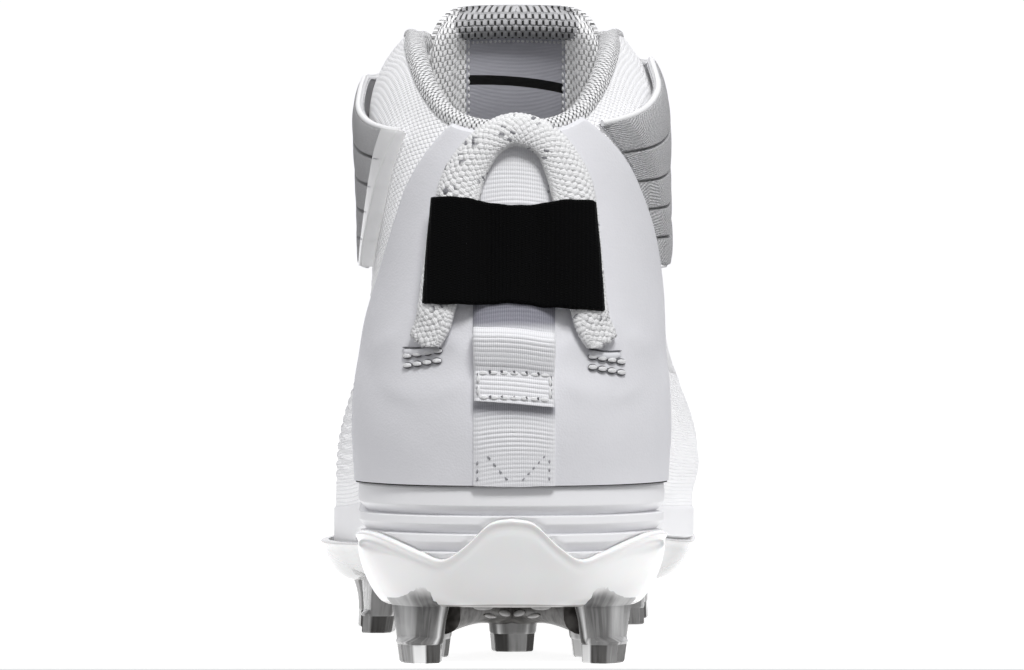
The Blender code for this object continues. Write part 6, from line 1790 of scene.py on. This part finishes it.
def make_midsole():
    loop = Round(420)
    drops = [np.arange(0, 23.0, 0.42)]
    for g in GROOVES:
        drops.append(g[0] + np.linspace(-0.5, 0.62, 12))
        drops.append(g[0] - np.linspace(0.5, 2.6, 9))
    drops = np.unique(np.round(np.concatenate(drops), 3))
    y, med = loop.y, loop.med
    outer, tones = [], []
    rows = [dict(zip(GROOVE, g)) for g in GROOVES]
    plate_in = loop.plate(np.ones(loop.count)) - PLATE_CUP - 0.1
    floor = loop.bottom + PLATE_FLOOR + GAP
    for drop in drops:
        z = loop.feather - drop
        # round the forefoot the wall is only as tall as from the feather edge to the plate
        low = loop.rim - 2.0
        z = np.maximum(z, low)
        dip = np.zeros(loop.count)
        for g in rows:
            climb = g["lat_rise"] * ease(g["lat_rise_from"], g["lat_end"], y) * (1 - med)
            line = g["drop"] - climb
            above = line - drop
            end = g["lat_end"] * (1 - med) + g["med_end"] * med
            live = 1 - ease(end - 9.0, end, y)
            tuck = 2.0 * np.clip(1 - above / 2.35, 0, 1) ** 1.15
            back_out = 2.0 * np.clip(1 + above / 0.34, 0, 1)
            dip = np.maximum(dip, np.where(above >= 0, tuck, back_out) * live)
        swell = 0.22 * np.sin(np.pi * np.clip(drop / 7.1, 0, 1)) * (1 - ease(60, 100, y))
        offset = 0.5 + swell - dip
        tucked = ease(-0.2, 0.9, z - loop.rim)
        offset = np.minimum(offset, plate_in) * (1 - tucked) + offset * tucked
        outer.append(loop.ring(offset, z))
        # painted shade: the tone darkens the tucks under the ribs and the band just under the feather edge round the
        # heel
        shadow = np.clip(1 - drop / 4.2, 0, 1) * (1 - ease(50, 90, y))
        tones.append(np.clip(0.52 * dip / 2.0 + 0.22 * shadow, 0, 1))
    outer[0] = loop.ring(0.2, loop.feather + 0.1)
    low = loop.rim - 2.0
    for share in (0.7, 0.4, 0.15, 0.0):
        z = floor + (low - floor) * share
        full = (z - loop.bottom) / (loop.rim - loop.bottom)
        outer.append(loop.ring(loop.plate(full) - PLATE_CUP - 0.6, z))
        tones.append(np.zeros(loop.count))
    inner = [loop.ring(-WALL - 0.3, loop.feather + 0.1), loop.ring(-WALL - 0.6, (loop.feather + loop.bed) / 2), loop.ring(-WALL - 2.2, loop.bed)]
    obj = tray_piece("midsole_ribbed", loop, outer, inner, [FINISH["midsole"]], lambda r, n: 0, tones=tones)
    # a dark tube along the feather edge, thicker on the outer side of the heel: painted shade in the gap where the
    # upper and counter meet the midsole
    joint = Heap()
    line = loop.ring(1.05 - 1.6 * ease(44, 70, loop.y), loop.feather + 0.12)
    up = np.repeat([[0.0, 0.0, 1.0]], loop.count, 0)
    flat = np.concatenate([loop.flat, np.zeros((loop.count, 1))], 1)
    weight = 0.16 + 0.12 * (1 - ease(4, 26, loop.y)) * (loop.x < 0) * ease(8, 26, np.abs(loop.x))
    tube(joint, line, flat, up, 0.35, weight, 6, closed=True)
    declare(joint.make("midsole_joint_line", [FINISH["slot"]]), ["midsole"])
    return declare(obj, ["midsole"])


def make_plate():
    """Moulded cup and plate, its edge a rounded lip, its walls milky and its underside clear."""
    loop = Round(420)
    outer = []
    shares = np.r_[1.0, 0.995, 0.985, 0.97, 0.95, 0.93, 0.90, np.linspace(0.86, 0.10, 24), 0.07, 0.045, 0.025, 0.01]
    tall = loop.rim - loop.bottom
    for share in shares:
        z = loop.bottom + tall * share
        down = (1 - share) * tall
        lip = 0.42 * np.exp(-((down - 0.75) / 0.62) ** 2) - 0.75 * np.clip(1 - down / 0.45, 0, 1) ** 2
        hollow = -0.22 * np.exp(-((down - 2.4) / 1.0) ** 2)
        heel = 1 - ease(30, 60, loop.y)
        lobe = 0.9 * heel * np.exp(-((np.abs(loop.x) - 34.0) / 6.0) ** 2) * np.sin(np.pi * np.clip(share, 0, 1))
        outer.append(loop.ring(loop.plate(np.full(loop.count, share)) + lip + hollow + lobe + 0.15, z))
    outer.append(loop.ring(loop.plate(np.zeros(loop.count)) - 0.4, loop.bottom - 0.25))
    outer.append(loop.ring(loop.plate(np.zeros(loop.count)) - 1.6, loop.bottom - 0.1))
    floor = loop.bottom + PLATE_FLOOR
    inner = []
    for share in (1.0, 0.985, 0.95, 0.78, 0.5, 0.3, 0.0):
        z = floor + (loop.rim - floor) * share
        full = (z - loop.bottom) / (loop.rim - loop.bottom)
        inner.append(loop.ring(loop.plate(full) - PLATE_CUP * (0.75 if share > 0.99 else 1.0), z))

    def sag(p):
        """Ribs moulded into the underside: a spine, slanted bars over the forefoot and a shank under the arch."""
        x, y = p[..., 0] - station("ridge_x", p[..., 1]), p[..., 1]
        half = np.abs(x[:, [0, -1]]).mean(axis=1)[:, None]
        inside = ease(0.0, 0.25, 1 - np.abs(x) / np.maximum(half, 1))
        spine = -1.6 * np.exp(-(x / 3.4) ** 2) * ease(70, 90, y) * (1 - ease(236, 262, y))
        rails = -1.3 * np.exp(-((np.abs(x) - 13.0) / 2.4) ** 2) * ease(70, 86, y) * (1 - ease(128, 152, y))
        bars = -0.8 * np.abs(np.sin((y - 0.55 * np.abs(x)) * math.pi / 13.0)) ** 6 * ease(140, 160, y) * (1 - ease(262, 280, y))
        return (spine + rails + bars) * inside

    def index_of(r, which):
        if r >= 0:
            return 0 if r >= 3 else 1
        return 1 if which == 2 else 0

    obj = tray_piece("outsole_plate", loop, outer, inner, [FINISH["plate"], FINISH["under"]], index_of, cols=61, sag=sag)
    return declare(obj, ["outsole"])


def stud_form(heap, row, loop, facets=9):
    """One stud: smooth flaring body, and a faceted tip a little narrower under a fine step."""
    x, y, yaw = row["x"], row["y"], math.radians(row["yaw"])
    if row["name"].startswith("heel_rear"):
        row = dict(row, wide=9.4, long=12.0)
    base = float(sole("bottom", y)) + 2.2
    rear = row["name"].startswith("heel_rear")
    centre = row["name"] == "heel_centre"
    sides = facets * 6
    s = np.linspace(0, 2 * math.pi, sides, endpoint=False)
    c, n = np.cos(s), np.sin(s)
    soft = np.stack([np.sign(c) * np.abs(c) ** 0.70, np.sign(n) * np.abs(n) ** 0.70], -1)
    corner = np.linspace(0, 2 * math.pi, facets, endpoint=False) + 0.35
    hard = np.stack([np.interp(s, corner, np.interp(corner, s, soft[:, k], period=2 * math.pi), period=2 * math.pi) for k in (0, 1)], -1) * 1.03
    rings = []
    top = base + (5.0 if rear else 2.0)
    levels = [(0.0, 0.90, 1.0), (0.35, 0.96, 1.0), (4.5, 1.03, 1.0), (4.6, 1.04, 0.6), (4.8, 1.07, 0.0)]
    for z in np.linspace(5.2, top, 14):
        up = (z - 4.35) / (base - 4.35)
        spread = up**1.25 if rear else up**1.9
        levels.append((float(z), 1.09 + (row["flare"] * (1.02 if rear else 1.22) - 1.09) * spread + 0.04 * up, 0.0))
    for z, grow, hardness in levels:
        form = soft * (1 - hardness) + hard * hardness
        grow = min(grow, row["flare"] * (1.25 if rear else 1.5))
        if rear and z > base + 1.0:
            grow *= math.sqrt(max(0.02, 1 - ((z - base - 1.0) / (top - base - 0.8)) ** 2))
        a, b = form[:, 0] * row["wide"] / 2 * grow, form[:, 1] * row["long"] / 2 * grow
        lean = x * (1 + 0.0022 * z) if rear else x * (1 - 0.003 * z)
        rings.append(np.stack([lean + a * math.cos(yaw) - b * math.sin(yaw), y + a * math.sin(yaw) + b * math.cos(yaw), np.full(sides, z)], -1))
    rings = np.array(rings)
    tones = []
    for ring, (z, grow, hardness) in zip(rings, levels):
        # kept close to the cup's wall where it runs up it
        share = np.clip((z - loop.bottom) / (loop.rim - loop.bottom), 0, 1)
        wall = loop.ring(loop.plate(share), z)[:, :2]
        if z > 6.0:
            apart = ring[:, None, :2] - wall[None]
            near = np.argmin((apart**2).sum(-1), axis=1)
            out = (apart[np.arange(sides), near] * loop.flat[near]).sum(-1)
            margin = 0.55 * (1 - np.clip((z - base + 2.2) / (top - base + 2.2), 0, 1))
            ring[:, :2] -= loop.flat[near] * np.maximum(out - margin, 0)[:, None]
        # painted reflections: pale on the outer flank, dark on the inner one, with painted highlight lines at the
        # corners
        turn = np.degrees(np.arctan2(-(ring[:, 1] - y), (ring[:, 0] - ring[:, 0].mean()) * math.copysign(1, x)))
        body = np.interp(turn, [-180, -120, -60, 0, 30, 50, 118, 138, 180], [0.05, 0.25, 0.33, 0.62, 0.52, 0.34, 0.26, 0.04, 0.06])
        if centre or not rear:
            body = 0.22 + 0.35 * body + (0.3 if row["name"].startswith("heel_front") else 0.0)
        line = 0.75 * np.exp(-((turn - 128) / 5.0) ** 2) + 0.35 * np.exp(-((turn - 50) / 4.0) ** 2)
        if hardness > 0.9:
            # painted reflections on the faceted tip: its facets alternate bright and dark
            pick = np.floor(((s - 0.35) % (2 * math.pi)) / (2 * math.pi) * facets + 1e-6).astype(int)
            tip = np.array([0.95, 0.10, 0.34, 0.06, 0.72, 0.16, 0.90, 0.12, 0.40])[(pick + int(abs(x) * 3)) % 9]
            tones.append(tip * (1.0 if rear or row["name"].startswith("heel_front") else 0.45))
        else:
            tones.append(np.clip(body + line, 0, 1))
    faces = faces_of(len(rings), sides, 0, True) + [list(range(sides))[::-1], [(len(rings) - 1) * sides + j for j in range(sides)]]
    uv = np.stack(np.broadcast_arrays(s[None] * 6.0, rings[..., 2]), -1)
    heap.add(rings, faces, uv, 0, np.array(tones).ravel())


def make_studs():
    heap, loop = Heap(), Round(420)
    for stud in STUDS:
        stud_form(heap, dict(zip(STUD, stud)), loop)
    studs = declare(heap.make("outsole_studs", [FINISH["clear"]], sharp=24), ["outsole"])

    # webs under the heel, from the rear studs to the centre one and between the studs of each side
    heap = Heap()
    for side in (-1, 1):
        for (x0, y0), (x1, y1), low, wide in (
            ((18.6, 21.0), (2.5, 64.0), 6.6, 6.4), ((21.4, 24.0), (20.0, 46.0), 6.2, 5.4), ((19.6, 46.0), (2.5, 66.0), 6.4, 6.2),
        ):
            share = np.linspace(0, 1, 22)
            x, y = side * (x0 + (x1 - x0) * share), y0 + (y1 - y0) * share
            d = np.array([side * (x1 - x0), y1 - y0])
            d /= np.linalg.norm(d)
            nrm = np.array([d[1], -d[0]])
            arch = low + 1.6 * np.sin(np.pi * share) ** 0.8
            turn = np.linspace(0, math.pi, 13)
            rings = []
            for k in range(len(share)):
                a = np.cos(turn) * wide
                z = np.where(np.abs(a) > wide * 0.999, 16.6, 16.6 - (16.6 - arch[k]) * np.sin(turn) ** 0.36)
                rings.append(np.stack([x[k] + nrm[0] * a, y[k] + nrm[1] * a, z], -1))
            rings = np.array(rings)
            faces = faces_of(len(rings), 13) + [list(range(13)), [(len(rings) - 1) * 13 + j for j in range(13)][::-1]]
            for i in range(len(rings) - 1):
                faces.append([i * 13 + 12, (i + 1) * 13 + 12, (i + 1) * 13, i * 13])
            heap.add(rings, faces, np.stack([rings[..., 0], rings[..., 1]], -1))
    webs = declare(heap.make("outsole_heel_webs", [FINISH["smoke"]], sharp=40), ["outsole"])

    # lens-shaped lumps moulded into the webs' flanks that face back, lighter than the webs: partly moulded relief,
    # partly painted highlight
    heap = Heap()
    for side in (-1, 1):
        for (x0, y0), (x1, y1), off, at, z, wide, tall, tilt in (
            ((18.6, 21.0), (2.5, 64.0), 6.3, 0.34, 12.9, 7.0, 0.8, -0.05), ((18.6, 21.0), (2.5, 64.0), 6.2, 0.46, 10.4, 4.2, 0.55, -0.10),
            ((18.6, 21.0), (2.5, 64.0), 6.2, 0.68, 10.6, 4.0, 0.8, -0.12), ((19.6, 46.0), (2.5, 66.0), 6.1, 0.5, 11.5, 3.4, 0.8, 0.0),
        ):
            d = np.array([side * (x1 - x0), y1 - y0, 0.0])
            d /= np.linalg.norm(d)
            nrm = np.array([d[1], -d[0], 0.0])
            nrm = nrm if nrm[1] < 0 else -nrm
            up = np.array([0.0, 0.0, 1.0])
            mid = np.array([side * (x0 + (x1 - x0) * at), y0 + (y1 - y0) * at, z]) + nrm * off
            lat, lon = np.linspace(0, math.pi, 12), np.linspace(0, 2 * math.pi, 28, endpoint=False)
            L, M = np.meshgrid(lat, lon, indexing="ij")
            pa, pb, pc = np.sin(L) * np.cos(M) * wide, np.sin(L) * np.sin(M) * tall, np.cos(L) * 0.45
            pb = pb + pa * tilt * (1 if side > 0 else 1)
            heap.add(mid + pa[..., None] * d + pb[..., None] * up + pc[..., None] * nrm, faces_of(12, 28, 0, True), None)
    lens = declare(heap.make("outsole_web_windows", [FINISH["window"]], weld=True, sharp=0), ["outsole"])
    return studs, webs, lens


def make_insole():
    loop = Round(200)
    top = loop.bed + GAP + INSOLE
    half = loop.count // 2
    cols = 46
    ring = loop.ring(-WALL - 1.9, top)
    a, b = ring[: half + 1], ring[(-np.arange(half + 1)) % loop.count]
    s = np.linspace(0, 1, cols)[None, :, None]
    grid = a[:, None] * (1 - s) + b[:, None] * s
    side = np.abs(np.linspace(-1, 1, cols))[None]
    y = grid[..., 1]
    grid[..., 2] += 2.2 * side**4 * (1 - ease(120, 170, y)) + 0.8 * side**6 + 0.7 * np.cos(np.linspace(-1, 1, cols) * 1.4)[None] * ease(70, 100, y) * (1 - ease(120, 150, y))
    ends = np.minimum(np.arange(half + 1), half - np.arange(half + 1))[:, None]
    grid[..., 2] -= 0.6 * np.exp(-ends / 1.5)
    under = grid.copy()
    under[..., 2] = sole("footbed", y) + 0.2
    heap = Heap()
    two_sided(heap, grid, under, uv=np.stack([grid[..., 0], grid[..., 1]], -1))
    return declare(heap.make("insole_sheet", [FINISH["insole"]]), ["insole"])


# ---- laces -----------------------------------------------------------------------------------------------------
def over_throat(level, across, reach, lift):
    """Point over the throat at a level, across of the way to the eyelets, and its outward direction."""
    at, along, inward = front_point(level)
    half = across * reach
    lo, hi = -3.0, 26.0
    for _ in range(26):
        mid = (lo + hi) / 2
        y, z = at[0] + inward[0] * mid, at[1] + inward[1] * mid
        if float(half_width(y, z, -1 if half < 0 else 1)) < abs(half):
            lo = mid
        else:
            hi = mid
    drop = max(hi, 0.0)
    y, z = at[0] + inward[0] * drop, at[1] + inward[1] * drop
    point = np.array([float(station("ridge_x", y)) + half, y, z])
    up = np.array([half / 42.0, -inward[0], -inward[1]])
    up /= np.linalg.norm(up)
    return point + up * lift, up


def lace_reach(level):
    share = (level - THROAT_START) / (1 - THROAT_START)
    return THROAT_HALF_LOW + (THROAT_HALF_TOP - THROAT_HALF_LOW) * share + LACE_REACH


def make_laces():
    per = 26
    heap, rings_heap, holes = Heap(), Heap(), Heap()
    for side in (-1, 1):
        pts, ups = [], []
        for i in range(LACE_ROWS - 1):
            here = side if i % 2 == 0 else -side
            for k in range(per + (i == LACE_ROWS - 2)):
                share = k / per
                level = LACE_FIRST + (LACE_LAST - LACE_FIRST) * (i + share) / (LACE_ROWS - 1)
                across = here * (1 - 2 * share)
                ride = 0.62 * math.cos(math.pi * (share - 0.5)) ** 2 * (1 if (side > 0) == (i % 2 == 0) else -0.25)
                tuck = -1.2 * math.exp(-(((1 - abs(across)) / 0.055) ** 2))
                p, u = over_throat(level, across, lace_reach(level), GAP + 1.25 + ride + tuck)
                pts.append(p)
                ups.append(u)
        pts, ups = np.array(pts), np.array(ups)
        keep = np.r_[True, np.linalg.norm(np.diff(pts, axis=0), axis=1) > 1e-6]
        pts, ups = pts[keep], ups[keep]
        _, wide, up = frame_along(pts, ups)
        turn = np.linspace(0, 2 * math.pi, 16, endpoint=False)
        c, s = np.cos(turn), np.sin(turn)
        run = np.r_[0, np.cumsum(np.linalg.norm(np.diff(pts, axis=0), axis=1))]
        for _ in (0,):
            a = LACE_WIDE / 2 * np.sign(c) * np.abs(c) ** 0.55
            b = LACE_THICK / 2 * np.sign(s) * np.abs(s) ** 0.8
            b = b * (1 - 0.22 * np.cos(turn * 2) * (np.abs(c) < 0.5))
        rings = pts[:, None] + wide[:, None] * a[None, :, None] + up[:, None] * b[None, :, None]
        uv = np.stack(np.broadcast_arrays(a[None] + b[None] * 0.5, run[:, None]), -1)
        heap.add(rings, faces_of(len(pts), 16, 0, True) + [list(range(16))[::-1], [(len(pts) - 1) * 16 + j for j in range(16)]], uv)
    for i in range(LACE_ROWS):
        level = LACE_FIRST + (LACE_LAST - LACE_FIRST) * i / (LACE_ROWS - 1)
        for side in (-1, 1):
            p, u = over_throat(level, side, lace_reach(level), GAP + 0.72)
            _, along, _ = front_point(level)
            t = np.array([0.0, along[0], along[1]])
            t -= u * (t @ u)
            t /= np.linalg.norm(t)
            w = np.cross(t, u)
            ang = np.linspace(0, 2 * math.pi, 36, endpoint=False)
            ring = p + (np.cos(ang)[:, None] * t * 3.0 + np.sin(ang)[:, None] * w * 2.5)
            out = np.cos(ang)[:, None] * t + np.sin(ang)[:, None] * w
            tube(rings_heap, ring, out, np.repeat(u[None], 36, 0), 0.62, 0.42, 8, closed=True)
            # a dark disc in each eyelet: painted shade in the hole
            disc = p - u * 0.35 + (np.cos(ang)[:, None] * t * 2.9 + np.sin(ang)[:, None] * w * 2.4)
            low = disc - u * 0.3
            holes.add(np.vstack([disc, low]), faces_of(2, 36, 0, True) + [list(range(36)), list(range(36, 72))[::-1]])
    laces = declare(heap.make("lace_ribbons", [FINISH["lace"]], sharp=0), ["laces"])
    eyelets = declare(rings_heap.make("lace_eyelets", [FINISH["eyelet"]], sharp=0), ["upper"])
    punched = declare(holes.make("lace_eyelet_holes", [FINISH["slot"]]), ["upper"])
    return laces, eyelets, punched


# ---- the shoe, its stage, its light and the camera --------------------------------------------------------------
make_upper()
make_eyestay()
make_counter()
make_collar()
make_tongue()
make_strap()
make_webbing()
make_tab()
make_cord()
make_slots()
make_band()
make_midsole()
make_plate()
make_studs()
make_insole()
make_laces()


def soft_light(name, size, power, at, look, colour=(1.0, 1.0, 1.0)):
    light = bpy.data.lights.new(name, "AREA")
    light.shape, light.size, light.size_y, light.energy, light.color = "RECTANGLE", size[0], size[1], power, colour
    obj = bpy.data.objects.new(name, light)
    obj.location = at
    way = np.array(look, float) - np.array(at, float)
    flat = math.hypot(way[0], way[1])
    obj.rotation_euler = (math.atan2(flat, -way[2]), 0.0, math.atan2(way[1], way[0]) - math.pi / 2)
    bpy.context.scene.collection.objects.link(obj)
    return obj


def make_stage():
    """Pale floor, soft lamps and a white surround that is a little dimmer behind the camera and below."""
    heap = Heap()
    turn = np.linspace(0, 2 * math.pi, 96, endpoint=False)
    rings = [np.stack([r * np.cos(turn), r * np.sin(turn), np.zeros(96)], -1) for r in (8000.0, 4000.0, 1500.0, 600.0, 200.0, 40.0)]
    rings = np.array(rings) + (MID_X, MID_Y, 0.0)
    heap.add(rings, faces_of(len(rings), 96, 0, True) + [[(len(rings) - 1) * 96 + j for j in range(96)]])
    floor = heap.make("studio_floor", [FINISH["floor"]], sharp=0)
    if floor.data.polygons[0].normal.z < 0:
        floor.data.flip_normals()

    world = bpy.data.worlds.new("studio")
    bpy.context.scene.world = world
    world.use_nodes = True
    t = world.node_tree
    back = t.nodes["Background"]
    coord = t.nodes.new("ShaderNodeTexCoord")
    split = t.nodes.new("ShaderNodeSeparateXYZ")
    t.links.new(coord.outputs["Generated"], split.inputs[0])

    def ramp(socket, low, high, out0, out1):
        n = t.nodes.new("ShaderNodeMapRange")
        n.interpolation_type = "SMOOTHSTEP"
        t.links.new(socket, n.inputs["Value"])
        for key, value in (("From Min", low), ("From Max", high), ("To Min", out0), ("To Max", out1)):
            n.inputs[key].default_value = value
        return n.outputs["Result"]

    ahead = ramp(split.outputs["Y"], 0.30, 0.95, 0.32, 1.02)
    above = ramp(split.outputs["Z"], 0.15, 0.9, 0.0, 0.30)
    plus = t.nodes.new("ShaderNodeMath")
    plus.operation = "ADD"
    t.links.new(ahead, plus.inputs[0])
    t.links.new(above, plus.inputs[1])
    t.links.new(plus.outputs[0], back.inputs["Strength"])
    back.inputs["Color"].default_value = (1.0, 1.0, 1.025, 1.0)

    middle = (0.0, -0.05, 0.08)
    soft_light("key_high", (0.55, 0.55), 29.0, (0.34, -1.55, 1.65), middle)
    soft_light("fill_right", (0.8, 1.2), 2.3, (1.5, -1.5, 0.5), middle)
    soft_light("rim_left", (0.5, 1.2), 2.0, (-1.7, -0.5, 0.7), middle)

    view = bpy.context.scene.view_settings
    view.view_transform, view.look, view.exposure, view.gamma = "Standard", "None", 0.0, 1.0

    camera = bpy.data.cameras.new("photo_camera")
    camera.sensor_width, camera.lens, camera.clip_start, camera.clip_end = 36.0, 183.94, 0.05, 60.0
    obj = bpy.data.objects.new("photo_camera", camera)
    obj.location, obj.rotation_euler = (0.0006, -1.4216, 0.081), (math.pi / 2, 0.0, 0.0)
    bpy.context.scene.collection.objects.link(obj)
    bpy.context.scene.camera = obj


make_stage()
